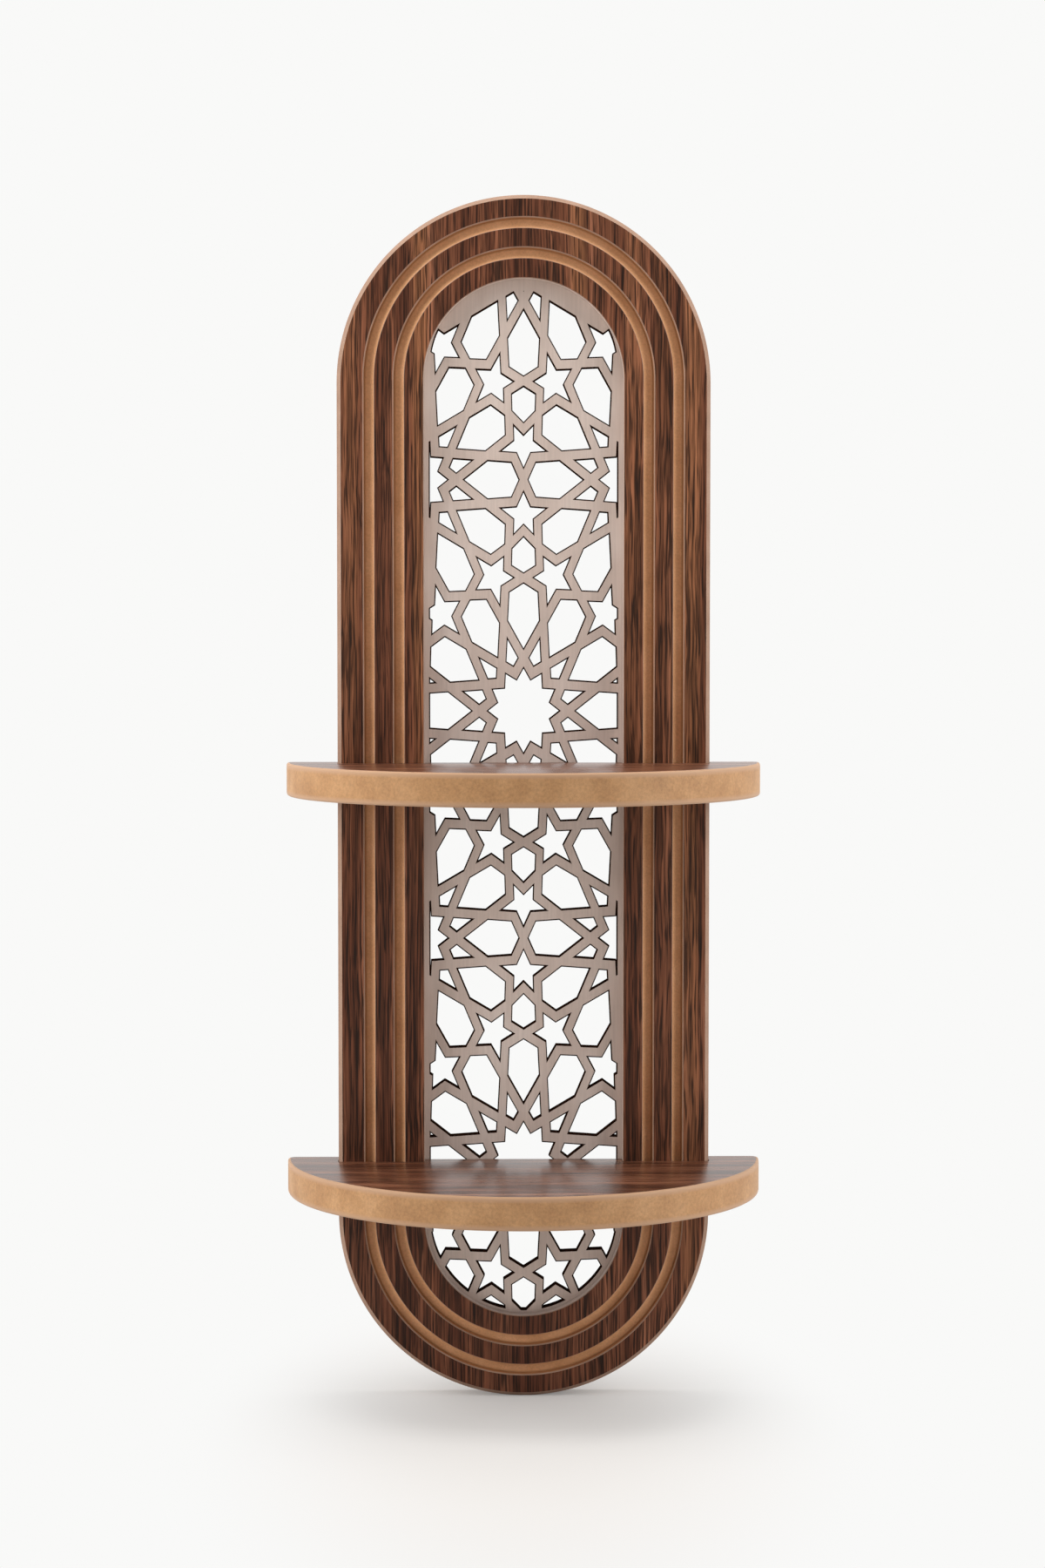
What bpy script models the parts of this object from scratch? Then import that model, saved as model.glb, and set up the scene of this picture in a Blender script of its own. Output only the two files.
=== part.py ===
# Wall shelf: an arched board frame with two routed grooves, a pierced star lattice set in from the back,
# and two half-round shelves notched over the frame's uprights. The wall is the plane y = 0, the front
# faces -Y, and the origin lies on the back face, level with the two keyhole hangers.
import math

import bmesh
import bpy
from mathutils import Matrix, Vector

# Frame board
FRAME_HEIGHT = 0.700
FRAME_WIDTH = 0.2165
BOARD_THICKNESS = 0.018
EDGE_BEVEL_WIDTH = 0.00275
EDGE_BEVEL_DEPTH = 0.0035
OUTER_FACE_WIDTH = 0.0122
MIDDLE_FACE_WIDTH = 0.0104
INNER_FACE_WIDTH = 0.0112
GROOVE_WIDTH = 0.0069
GROOVE_DEPTH = 0.0044
# How much narrower the outer face is at the two round ends than along the uprights
END_FACE_TRIM = 0.0025

# Lattice panel and the rebate that holds it
LATTICE_RECESS = 0.0085
LATTICE_THICKNESS = 0.006
REBATE_WIDTH = 0.0082
ROSETTE_SPACING = 0.130
ROSETTE_ROW_SPACING = 0.133
# Row spacing above the main rosette, where the pattern is drawn out to fill the arch
UPPER_ROW_SPACING = 0.1344
# Heights of a rosette above the foot of the frame, for the pattern above and below the lower shelf
ROSETTE_HEIGHT = 0.4021
FOOT_ROSETTE_HEIGHT = 0.1484
# Distances from the centre lines of the straps to the edges of the holes
HUB_MARGIN = 0.0029
KITE_MARGIN = 0.0029
PETAL_MARGIN = 0.0026
STAR_MARGIN = 0.0029
SHIELD_MARGIN = 0.0023
LATTICE_SIDE_BORDER = 0.0034
LATTICE_TOP_BORDER = 0.010
LATTICE_BOTTOM_BORDER = 0.0035
LEAST_HOLE_REACH = 0.002

# Star pattern, as shares of the rosette spacing and as an angle to the petal's axis. A rosette has twelve
# petals and six neighbours, whose petal tips meet its own halfway.
PETALS = 12
PETAL_STEP = 360 / PETALS
NEIGHBOURS = 6
NEIGHBOUR_STEP = 360 / NEIGHBOURS
HALFWAY = 0.5
STAR_TIP_SHARE = 0.199
STRAP_CROSSING_SHARE = 0.346
PETAL_TIP_SHARE = HALFWAY
PETAL_TIP_ANGLE = 62.0
# How far the point of a shield is drawn out towards the upright five-point star beside it
SHIELD_POINT_SHARE = 0.016

# Shelves, whose heights are those of their top faces above the foot of the frame
SHELF_OVERHANG = 0.03025
SHELF_THICKNESS = 0.019
UPPER_SHELF_HEIGHT = 0.372
LOWER_SHELF_HEIGHT = 0.139
EAR_SETBACK = 0.0005
EAR_CORNER_RADIUS = 0.003
RIM_BEVEL = 0.0007

# Fastenings of the shelves
SHELF_SCREW_DIAMETER = 0.004
SHELF_SCREW_HEAD_DIAMETER = 0.008
SHELF_SCREW_LENGTH = 0.045
DOWEL_DIAMETER = 0.008
DOWEL_DEPTH_IN_FRAME = 0.011
DOWEL_DEPTH_IN_SHELF = 0.018
DOWEL_END_BEVEL = 0.0008

# Screws of the lattice
LATTICE_SCREW_DIAMETER = 0.003
LATTICE_SCREW_HEAD_DIAMETER = 0.0056
LATTICE_SCREW_HEAD_HEIGHT = 0.0018
LATTICE_SCREW_LENGTH = 0.012
LATTICE_SCREW_PITCH = 0.200

# Keyhole hangers
HANGER_ANGLE = 25.0
HANGER_WIDTH = 0.040
HANGER_HEIGHT = 0.018
HANGER_CORNER_RADIUS = 0.004
HANGER_THICKNESS = 0.0016
HANGER_SCREW_PITCH = 0.028
HANGER_SCREW_DIAMETER = 0.0028
HANGER_SCREW_HEAD_DIAMETER = 0.006
HANGER_SCREW_LENGTH = 0.010
KEYHOLE_ENTRY_DIAMETER = 0.008
KEYHOLE_SLOT_WIDTH = 0.0044
KEYHOLE_LENGTH = 0.0056
KEYHOLE_POCKET_MARGIN = 0.0016
KEYHOLE_POCKET_DEPTH = 0.009

# Screw forms: share of the shank that is left at the point, and the crown of a pan head from its top to
# its seat as shares of the head's radius and height
SCREW_POINT_SHARE = 0.25
PAN_HEAD_CROWN = ((0.6, 1.0), (0.9, 0.7), (1.0, 0.0))

# Clearances
FIT_GAP = 0.0003
HEAD_SINK = 0.0003
END_GAP = 0.0005

# Facets
END_STEPS = 40
RIM_STEPS = 56
CORNER_STEPS = 5
SCREW_SIDES = 12
SMOOTH_ANGLE = 35.0

# Groove section from its outer to its inner arris: share of the width, share of the depth
GROOVE_SECTION = ((0.0, 0.0), (0.12, 1.0), (0.45, 0.88), (0.8, 0.5), (1.0, 0.0))

# Half widths across the frame, from the outline to the opening
HALF_WIDTH = FRAME_WIDTH / 2
FACE_EDGE = HALF_WIDTH - EDGE_BEVEL_WIDTH
OUTER_GROOVE = FACE_EDGE - OUTER_FACE_WIDTH
MIDDLE_FACE = OUTER_GROOVE - GROOVE_WIDTH
INNER_GROOVE = MIDDLE_FACE - MIDDLE_FACE_WIDTH
INNER_FACE = INNER_GROOVE - GROOVE_WIDTH
OPENING = INNER_FACE - INNER_FACE_WIDTH
REBATE = OPENING + REBATE_WIDTH
FIELD_HALF_WIDTH = OPENING - LATTICE_SIDE_BORDER

# Depths, measured along Y from the wall
FRONT = -BOARD_THICKNESS
SHOULDER = FRONT + LATTICE_RECESS
LATTICE_FRONT = SHOULDER + FIT_GAP
LATTICE_BACK = LATTICE_FRONT + LATTICE_THICKNESS
HANGER_BACK = -HEAD_SINK
HANGER_FRONT = HANGER_BACK - HANGER_THICKNESS

# Heights, measured along Z from the hangers
OUTLINE_CENTRE = FRAME_HEIGHT / 2 - HALF_WIDTH
BAND_CENTRE = OUTLINE_CENTRE + END_FACE_TRIM
HANGER_RADIUS = (REBATE + HALF_WIDTH) / 2
HANGER_X = HANGER_RADIUS * math.sin(math.radians(HANGER_ANGLE))
FRAME_MIDDLE = -(OUTLINE_CENTRE + HANGER_RADIUS * math.cos(math.radians(HANGER_ANGLE)))
FRAME_FOOT = FRAME_MIDDLE - FRAME_HEIGHT / 2

# Places of the shelf fastenings: the dowel in the middle face, the screw in the outer one
DOWEL_X = (MIDDLE_FACE + INNER_GROOVE) / 2
SHELF_SCREW_X = (FACE_EDGE + OUTER_GROOVE) / 2
SHELF_RADIUS = HALF_WIDTH + SHELF_OVERHANG
SIDES = {"left": -1, "right": 1}

# The border can clip a hole's corner by a hair, which only this solver cuts cleanly at every pattern height
LATTICE_SOLVER = "MANIFOLD"


def material(name, colour, roughness, metallic=0.0):
    """One Principled material, with its colour as linear RGB."""
    result = bpy.data.materials.new(name)
    result.use_nodes = True
    shader = result.node_tree.nodes["Principled BSDF"]
    shader.inputs["Base Color"].default_value = (*colour, 1.0)
    shader.inputs["Roughness"].default_value = roughness
    shader.inputs["Metallic"].default_value = metallic
    return result


def to_object(bm, name, finish=None):
    """Turns a bmesh into a named object, with its faces pointing out."""
    bmesh.ops.recalc_face_normals(bm, faces=bm.faces)
    mesh = bpy.data.meshes.new(name)
    bm.to_mesh(mesh)
    bm.free()
    result = bpy.data.objects.new(name, mesh)
    bpy.context.scene.collection.objects.link(result)
    if finish is not None:
        mesh.materials.append(finish)
        result.parent = bpy.data.objects["wall_shelf"]
    return result


def cutter(bm, name):
    """Turns a bmesh into a hidden guide object for a Boolean."""
    result = to_object(bm, name)
    result.hide_render = True
    result.display_type = "WIRE"
    return result


def boolean(target, tool, operation="DIFFERENCE", solver="EXACT"):
    """Cuts or trims a target with a guide object."""
    modifier = target.modifiers.new(tool.name, "BOOLEAN")
    modifier.operation = operation
    modifier.solver = solver
    modifier.object = tool


def prism(bm, outline, start, end):
    """Adds a solid with an outline in the XZ plane, between two depths along Y."""
    face = bm.faces.new([bm.verts.new((x, start, z)) for x, z in outline])
    grown = bmesh.ops.extrude_face_region(bm, geom=[face])["geom"]
    moved = [item for item in grown if isinstance(item, bmesh.types.BMVert)]
    bmesh.ops.translate(bm, verts=moved, vec=(0, end - start, 0))


def turned(bm, profile, x, z):
    """Adds a turned solid along Y from a profile of (radius, depth) points, closed at both ends."""
    rings = []
    for radius, y in profile:
        angles = [2 * math.pi * k / SCREW_SIDES for k in range(SCREW_SIDES)]
        circle = [(x + radius * math.cos(a), y, z + radius * math.sin(a)) for a in angles]
        rings.append([bm.verts.new(point) for point in circle])
    for ring, after in zip(rings, rings[1:]):
        for k in range(SCREW_SIDES):
            following = (k + 1) % SCREW_SIDES
            bm.faces.new((ring[k], ring[following], after[following], after[k]))
    bm.faces.new(rings[0])
    bm.faces.new(rings[-1])


def arc(radius, start, end, steps, centre=(0.0, 0.0), squeeze=1.0):
    """Points of an arc in degrees, with its second axis stretched or squeezed."""
    points = []
    for k in range(steps + 1):
        angle = math.radians(start + (end - start) * k / steps)
        across = radius * math.cos(angle)
        along = radius * squeeze * math.sin(angle)
        points.append((centre[0] + across, centre[1] + along))
    return points


def rounded_end_loop(half_width, centre, top=None, bottom=None):
    """Outline with two straight sides and round ends, as (x, z) points about the frame's middle."""
    rise = (top or half_width) / half_width
    drop = (bottom or half_width) / half_width
    upper = arc(half_width, 0, 180, END_STEPS, (0, FRAME_MIDDLE + centre), rise)
    lower = arc(half_width, 180, 360, END_STEPS, (0, FRAME_MIDDLE - centre), drop)
    return upper + lower


def groove(outer):
    """Section points of one groove, from its outer arris inwards."""
    return [(outer - share * GROOVE_WIDTH, FRONT + depth * GROOVE_DEPTH) for share, depth in GROOVE_SECTION]


def frame_board(finish):
    """The ring of board: its section swept round the two uprights and the two half-round ends."""
    outer = [(HALF_WIDTH, 0.0), (HALF_WIDTH, FRONT + EDGE_BEVEL_DEPTH), (FACE_EDGE, FRONT)]
    inner = groove(OUTER_GROOVE) + groove(INNER_GROOVE)
    inner += [(OPENING, FRONT), (OPENING, SHOULDER), (REBATE, SHOULDER), (REBATE, 0.0)]
    section = [(half, y, OUTLINE_CENTRE) for half, y in outer]
    section += [(half, y, BAND_CENTRE) for half, y in inner]
    bm = bmesh.new()
    loops = []
    for half, y, centre in section:
        loops.append([bm.verts.new((x, y, z)) for x, z in rounded_end_loop(half, centre)])
    for loop, after in zip(loops, loops[1:] + loops[:1]):
        for k in range(len(loop)):
            following = (k + 1) % len(loop)
            bm.faces.new((loop[k], loop[following], after[following], after[k]))
    return to_object(bm, "frame_board", finish)


def polar(radius, degrees):
    """A point of the star pattern, about its rosette's centre."""
    return Vector((radius, 0)) @ Matrix.Rotation(-math.radians(degrees), 2)


def turn(point, degrees, centre=Vector((0, 0))):
    """A point turned about a centre."""
    return centre + Matrix.Rotation(math.radians(degrees), 2) @ (point - centre)


def crossing(start, through, other, beyond):
    """Where the line from start through a point meets the line from other through beyond."""
    along = through - start
    across = beyond - other
    share = (other - start).cross(across) / along.cross(across)
    return start + share * along


def mirrored(point):
    """A point mirrored onto the rosette on the right, one spacing away."""
    return Vector((2 * HALFWAY - point.x, point.y))


def star_pattern():
    """Strap centre lines round the holes of one rosette and of the gaps beside it, for a spacing of 1.

    Each closed loop comes with the margin that its hole keeps to it.
    """
    tip = polar(STAR_TIP_SHARE, 0)
    weave = polar(STRAP_CROSSING_SHARE, PETAL_STEP / 2)
    notch = crossing(weave, tip, Vector((0, 0)), polar(1, -PETAL_STEP / 2))
    petal_tip = polar(PETAL_TIP_SHARE, 0)
    petal_side = petal_tip + polar(1, 180 - PETAL_TIP_ANGLE)
    shoulder = crossing(turn(tip, PETAL_STEP), weave, petal_tip, petal_side)
    low_shoulder = Vector((shoulder.x, -shoulder.y))
    inner_tip = turn(petal_tip, PETAL_STEP)
    inner_shoulder = turn(low_shoulder, PETAL_STEP)
    side_line = Vector((HALFWAY, 0))
    gap_corner = crossing(turn(shoulder, PETAL_STEP), inner_tip, side_line, side_line + Vector((0, 1)))
    drawn_corner = gap_corner - Vector((0, SHIELD_POINT_SHARE))

    next_notch = turn(notch, PETAL_STEP)
    star = [turn(point, PETAL_STEP * k) for k in range(PETALS) for point in (tip, next_notch)]
    kite = [next_notch, tip, weave, turn(tip, PETAL_STEP)]
    petal = [tip, turn(weave, -PETAL_STEP), low_shoulder, petal_tip, shoulder, weave]
    half_star = [inner_tip, inner_shoulder, weave, shoulder]
    gap = half_star + [petal_tip] + [mirrored(point) for point in reversed(half_star)]
    loops = [(star, HUB_MARGIN)]
    for shape, margin in ((kite, KITE_MARGIN), (petal, PETAL_MARGIN)):
        loops += [([turn(point, PETAL_STEP * k) for point in shape], margin) for k in range(PETALS)]
    for k in range(NEIGHBOURS):
        stands_upright = k % 3 == 0
        five_star = [drawn_corner if stands_upright else gap_corner] + gap
        loops.append(([turn(point, NEIGHBOUR_STEP * k) for point in five_star], STAR_MARGIN))
    middle = Vector((HALFWAY, HALFWAY / math.sqrt(3)))
    for k in range(2):
        shield = []
        for side in range(3):
            corner = drawn_corner if side == k else gap_corner
            shield += [turn(point, 2 * NEIGHBOUR_STEP * side, middle) for point in (inner_tip, corner)]
        loops.append(([turn(point, NEIGHBOUR_STEP * k) for point in shield], SHIELD_MARGIN))
    return loops


def area(loop):
    """Signed area of a loop."""
    return sum(a.cross(b) for a, b in zip(loop, loop[1:] + loop[:1])) / 2


def inset(loop, distance):
    """A loop moved inwards by the same distance on every side."""
    if area(loop) < 0:
        loop = loop[::-1]
    result = []
    for before, point, after in zip(loop[-1:] + loop[:-1], loop, loop[1:] + loop[:1]):
        first = (point - before).normalized()
        second = (after - point).normalized()
        normal = Vector((-first.y, first.x))
        other = Vector((-second.y, second.x))
        result.append(point + (normal + other) * distance / (1 + normal.dot(other)))
    return result


def reach(x, z):
    """How far a point lies inside the lattice's border."""
    rise = z - FRAME_MIDDLE
    end = max(abs(rise) - BAND_CENTRE, 0)
    border = LATTICE_TOP_BORDER if rise > 0 else LATTICE_BOTTOM_BORDER
    return FIELD_HALF_WIDTH - math.hypot(x, end * FIELD_HALF_WIDTH / (OPENING - border))


def lattice_holes(rosette, low, high):
    """The holes that open inside the border and between two heights, as loops of (x, z) points."""
    plain_spacing = ROSETTE_SPACING * math.sqrt(3) / 2
    pattern = []
    for loop, margin in star_pattern():
        pattern.append(inset([point * ROSETTE_SPACING for point in loop], margin))
    rows = math.ceil(FRAME_HEIGHT / ROSETTE_ROW_SPACING)
    columns = math.ceil(FRAME_WIDTH / ROSETTE_SPACING)
    holes = []
    for row in range(-rows, rows + 1):
        for column in range(-columns, columns + 1):
            x_centre = (column + row % 2 * HALFWAY) * ROSETTE_SPACING
            for loop in pattern:
                hole = []
                for point in loop:
                    rows_up = row + point.y / plain_spacing
                    spacing = UPPER_ROW_SPACING if rows_up > 0 else ROSETTE_ROW_SPACING
                    hole.append((x_centre + point.x, rosette + rows_up * spacing))
                if max(min(reach(x, z), z - low, high - z) for x, z in hole) > LEAST_HOLE_REACH:
                    holes.append(hole)
    return holes


def lattice_field(name, rosette, low, high):
    """Guide that pierces one field of the lattice: its holes, trimmed by the border and by two heights."""
    bm = bmesh.new()
    for hole in lattice_holes(rosette, low, high):
        prism(bm, hole, LATTICE_FRONT - END_GAP, LATTICE_BACK + END_GAP)
    piercing = cutter(bm, name)
    border = rounded_end_loop(
        FIELD_HALF_WIDTH, BAND_CENTRE, OPENING - LATTICE_TOP_BORDER, OPENING - LATTICE_BOTTOM_BORDER
    )
    bm = bmesh.new()
    prism(bm, border, LATTICE_FRONT - 2 * END_GAP, LATTICE_BACK + 2 * END_GAP)
    for height, up in ((low, -1), (high, 1)):
        whole = bm.verts[:] + bm.edges[:] + bm.faces[:]
        level = {"plane_co": (0, 0, height), "plane_no": (0, 0, up)}
        cut = bmesh.ops.bisect_plane(bm, geom=whole, clear_outer=True, **level)
        rim = [item for item in cut["geom_cut"] if isinstance(item, bmesh.types.BMEdge)]
        if rim:
            bmesh.ops.edgeloop_fill(bm, edges=rim)
    boolean(piercing, cutter(bm, f"{name}_border"), "INTERSECT", LATTICE_SOLVER)
    return piercing


def lattice_panel(finish):
    """The panel: a rounded board, pierced above and below a plain band behind the lower shelf."""
    bm = bmesh.new()
    prism(bm, rounded_end_loop(REBATE - FIT_GAP, BAND_CENTRE), LATTICE_FRONT, LATTICE_BACK)
    panel = to_object(bm, "lattice_panel", finish)
    band_top = FRAME_FOOT + LOWER_SHELF_HEIGHT
    band_foot = band_top - SHELF_THICKNESS
    rosette = FRAME_FOOT + ROSETTE_HEIGHT
    foot_rosette = FRAME_FOOT + FOOT_ROSETTE_HEIGHT
    main_field = lattice_field("lattice_main_field", rosette, band_top, FRAME_FOOT + FRAME_HEIGHT)
    foot_field = lattice_field("lattice_foot_field", foot_rosette, FRAME_FOOT, band_foot)
    boolean(panel, main_field, solver=LATTICE_SOLVER)
    boolean(panel, foot_field, solver=LATTICE_SOLVER)
    return panel


def shelf_outline():
    """Plan of a shelf as (x, y) points, and how many of them lie on its round rim."""
    corner_depth = EAR_SETBACK + EAR_CORNER_RADIUS
    corner_x = math.sqrt((SHELF_RADIUS - EAR_CORNER_RADIUS) ** 2 - corner_depth**2)
    lean = math.degrees(math.atan2(corner_depth, corner_x))
    right = arc(EAR_CORNER_RADIUS, 90, -lean, CORNER_STEPS, (corner_x, -corner_depth))
    front = arc(SHELF_RADIUS, -lean, -180 + lean, RIM_STEPS)
    left = [(-x, y) for x, y in reversed(right)]
    rim = right + front[1:-1] + left
    notch_outer = HALF_WIDTH + FIT_GAP
    notch_inner = OPENING - FIT_GAP
    notch_depth = FRONT - FIT_GAP
    tongue = LATTICE_FRONT - FIT_GAP
    half_back = [(-notch_outer, -EAR_SETBACK), (-notch_outer, notch_depth)]
    half_back += [(-notch_inner, notch_depth), (-notch_inner, tongue)]
    back = half_back + [(-x, y) for x, y in reversed(half_back)]
    return rim + back, len(rim)


def shelf(name, top, finish):
    """A half-round shelf with its top face at a height, notched for the uprights, with its rim eased."""
    outline, rim_count = shelf_outline()
    bm = bmesh.new()
    lower = [bm.verts.new((x, y, top - SHELF_THICKNESS)) for x, y in outline]
    upper = [bm.verts.new((x, y, top)) for x, y in outline]
    bm.faces.new(lower)
    bm.faces.new(upper)
    for k in range(len(outline)):
        following = (k + 1) % len(outline)
        bm.faces.new((lower[k], lower[following], upper[following], upper[k]))
    arrises = []
    for ring in (lower, upper):
        arrises += [bm.edges.get((ring[k], ring[k + 1])) for k in range(rim_count - 1)]
    bmesh.ops.bevel(bm, geom=arrises, offset=RIM_BEVEL, segments=1, affect="EDGES")
    return to_object(bm, name, finish)


def countersunk(diameter, head, length, back):
    """Profile of a countersunk screw from its head at a depth behind the wall plane to its point."""
    cone = (head - diameter) / 2
    point = diameter
    return [
        (head / 2, back),
        (diameter / 2, back - cone),
        (diameter / 2, back - length + point),
        (diameter / 2 * SCREW_POINT_SHARE, back - length),
    ]


def pan_head(diameter, head, head_height, length, seat):
    """Profile of a pan-head screw whose head sits on a seat."""
    crown = [(head / 2 * share, seat + head_height * rise) for share, rise in PAN_HEAD_CROWN]
    return crown + [
        (diameter / 2, seat),
        (diameter / 2, seat - length + diameter),
        (diameter / 2 * SCREW_POINT_SHARE, seat - length),
    ]


def dowel_profile():
    """Profile of a dowel between an upright and the notch of a shelf."""
    back = FRONT + DOWEL_DEPTH_IN_FRAME
    front = FRONT - DOWEL_DEPTH_IN_SHELF
    radius = DOWEL_DIAMETER / 2
    blunt = radius - DOWEL_END_BEVEL
    body = [(radius, back - DOWEL_END_BEVEL), (radius, front + DOWEL_END_BEVEL)]
    return [(blunt, back)] + body + [(blunt, front)]


def hole_for(profile, mouth):
    """Profile of the hole for a turned piece: wider by the fit gap, deeper, and open at its mouth."""
    widened = [(radius + FIT_GAP * math.sqrt(2), y) for radius, y in profile]
    first = (widened[0][0], mouth)
    last = (widened[-1][0], widened[-1][1] - END_GAP)
    return [first] + widened[:-1] + [last]


def keyhole(margin=0.0):
    """Outline of a keyhole about its middle: a round entry below and a slot above, grown by a margin."""
    entry = KEYHOLE_ENTRY_DIAMETER / 2 + margin
    slot = KEYHOLE_SLOT_WIDTH / 2 + margin
    open_angle = math.degrees(math.asin(slot / entry))
    low = (KEYHOLE_ENTRY_DIAMETER / 2 - KEYHOLE_SLOT_WIDTH / 2 - KEYHOLE_LENGTH) / 2
    points = arc(entry, 90 + open_angle, 450 - open_angle, 2 * SCREW_SIDES, (0, low))
    return points + arc(slot, 0, 180, SCREW_SIDES, (0, low + KEYHOLE_LENGTH))


def rounded_plate(margin=0.0):
    """Outline of a hanger plate about its middle, grown by a margin."""
    half_width = HANGER_WIDTH / 2 - HANGER_CORNER_RADIUS
    half_height = HANGER_HEIGHT / 2 - HANGER_CORNER_RADIUS
    points = []
    for quarter, (x, z) in enumerate(((1, 1), (-1, 1), (-1, -1), (1, -1))):
        centre = (x * half_width, z * half_height)
        points += arc(HANGER_CORNER_RADIUS + margin, 90 * quarter, 90 * quarter + 90, CORNER_STEPS, centre)
    return points


def moved(outline, x):
    """An outline shifted sideways."""
    return [(point_x + x, z) for point_x, z in outline]


def fastener(name, profile, x, z, finish):
    """One turned fastener as its own object."""
    bm = bmesh.new()
    turned(bm, profile, x, z)
    result = to_object(bm, name, finish)
    result.data.shade_smooth()
    result.data.set_sharp_from_angle(angle=math.radians(SMOOTH_ANGLE))
    return result


def lattice_screw_places():
    """Places of the lattice screws: along both uprights and at the two ends."""
    line = (OPENING + REBATE) / 2
    places = [(0.0, FRAME_MIDDLE + BAND_CENTRE + line), (0.0, FRAME_MIDDLE - BAND_CENTRE - line)]
    for side in SIDES.values():
        places += [(side * line, FRAME_MIDDLE + step * LATTICE_SCREW_PITCH) for step in (-1, 0, 1)]
    return places


def build():
    """Builds every piece, with each hole cut from the profile of the piece that goes through it."""
    board = material("walnut_faced_board", (0.085, 0.040, 0.023), 0.42)
    panel_paint = material("taupe_lattice", (0.40, 0.31, 0.25), 0.6)
    upper_board = material("walnut_faced_upper_shelf", (0.085, 0.040, 0.023), 0.42)
    lower_board = material("walnut_faced_lower_shelf", (0.085, 0.040, 0.023), 0.42)
    steel = material("zinc_plated_steel", (0.55, 0.55, 0.53), 0.35, 1.0)
    brass = material("yellow_passivated_steel", (0.55, 0.43, 0.20), 0.35, 1.0)
    beech = material("beech_dowel", (0.55, 0.36, 0.19), 0.6)

    frame = frame_board(board)
    lattice = lattice_panel(panel_paint)
    frame_cuts = bmesh.new()
    lattice_cuts = bmesh.new()

    shelf_screw = countersunk(
        SHELF_SCREW_DIAMETER, SHELF_SCREW_HEAD_DIAMETER, SHELF_SCREW_LENGTH, -HEAD_SINK
    )
    dowel = dowel_profile()
    shelves = (
        ("upper_shelf", UPPER_SHELF_HEIGHT, upper_board),
        ("lower_shelf", LOWER_SHELF_HEIGHT, lower_board),
    )
    for name, height, finish in shelves:
        top = FRAME_FOOT + height
        axis = top - SHELF_THICKNESS / 2
        board_piece = shelf(name, top, finish)
        shelf_cuts = bmesh.new()
        for side, sign in SIDES.items():
            fastener(f"{name}_screw_{side}", shelf_screw, sign * SHELF_SCREW_X, axis, brass)
            fastener(f"{name}_dowel_{side}", dowel, sign * DOWEL_X, axis, beech)
            for cuts in (frame_cuts, shelf_cuts):
                turned(cuts, hole_for(shelf_screw, END_GAP), sign * SHELF_SCREW_X, axis)
                turned(cuts, hole_for(dowel, dowel[0][1] + END_GAP), sign * DOWEL_X, axis)
        boolean(board_piece, cutter(shelf_cuts, f"{name}_holes"))

    lattice_screw = pan_head(
        LATTICE_SCREW_DIAMETER,
        LATTICE_SCREW_HEAD_DIAMETER,
        LATTICE_SCREW_HEAD_HEIGHT,
        LATTICE_SCREW_LENGTH,
        LATTICE_BACK + FIT_GAP,
    )
    lattice_shank = lattice_screw[len(PAN_HEAD_CROWN) :]
    for number, (x, z) in enumerate(lattice_screw_places(), 1):
        fastener(f"lattice_screw_{number}", lattice_screw, x, z, steel)
        for cuts in (frame_cuts, lattice_cuts):
            turned(cuts, hole_for(lattice_shank, LATTICE_BACK + END_GAP), x, z)
    boolean(lattice, cutter(lattice_cuts, "lattice_screw_holes"), solver=LATTICE_SOLVER)

    hanger_screw = countersunk(
        HANGER_SCREW_DIAMETER, HANGER_SCREW_HEAD_DIAMETER, HANGER_SCREW_LENGTH, HANGER_BACK - HEAD_SINK
    )
    for side, sign in SIDES.items():
        middle = sign * HANGER_X
        bm = bmesh.new()
        prism(bm, moved(rounded_plate(), middle), HANGER_FRONT, HANGER_BACK)
        plate = to_object(bm, f"hanger_plate_{side}", steel)
        plate_cuts = bmesh.new()
        prism(plate_cuts, moved(keyhole(), middle), HANGER_FRONT - END_GAP, HANGER_BACK + END_GAP)
        prism(frame_cuts, moved(rounded_plate(FIT_GAP), middle), HANGER_FRONT - FIT_GAP, END_GAP)
        pocket_cuts = bmesh.new()
        prism(pocket_cuts, moved(keyhole(KEYHOLE_POCKET_MARGIN), middle), -KEYHOLE_POCKET_DEPTH, END_GAP)
        for place, along in (("inner", -sign), ("outer", sign)):
            x = middle + along * HANGER_SCREW_PITCH / 2
            fastener(f"hanger_screw_{side}_{place}", hanger_screw, x, 0.0, steel)
            turned(plate_cuts, hole_for(hanger_screw, END_GAP), x, 0.0)
            turned(pocket_cuts, hole_for(hanger_screw, END_GAP), x, 0.0)
        boolean(plate, cutter(plate_cuts, f"hanger_plate_{side}_holes"))
        boolean(frame, cutter(pocket_cuts, f"hanger_{side}_pockets"))
    boolean(frame, cutter(frame_cuts, "frame_holes"))


for leftover in list(bpy.data.objects):
    bpy.data.objects.remove(leftover, do_unlink=True)
bpy.context.scene.collection.objects.link(bpy.data.objects.new("wall_shelf", None))
build()
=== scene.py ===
"""Looks of a wall shelf.

A round-ended frame of walnut-faced board with two routed grooves, a pierced star lattice behind its
opening, two half-round shelves, and the screws and keyhole hangers at its back. Sizes are in metres. The
wall is the plane y = 0, the front faces -Y, and the origin lies on the back face, level with the hangers.
"""

import cmath
import logging
import math
from dataclasses import dataclass
from enum import Enum
from typing import Any

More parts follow.
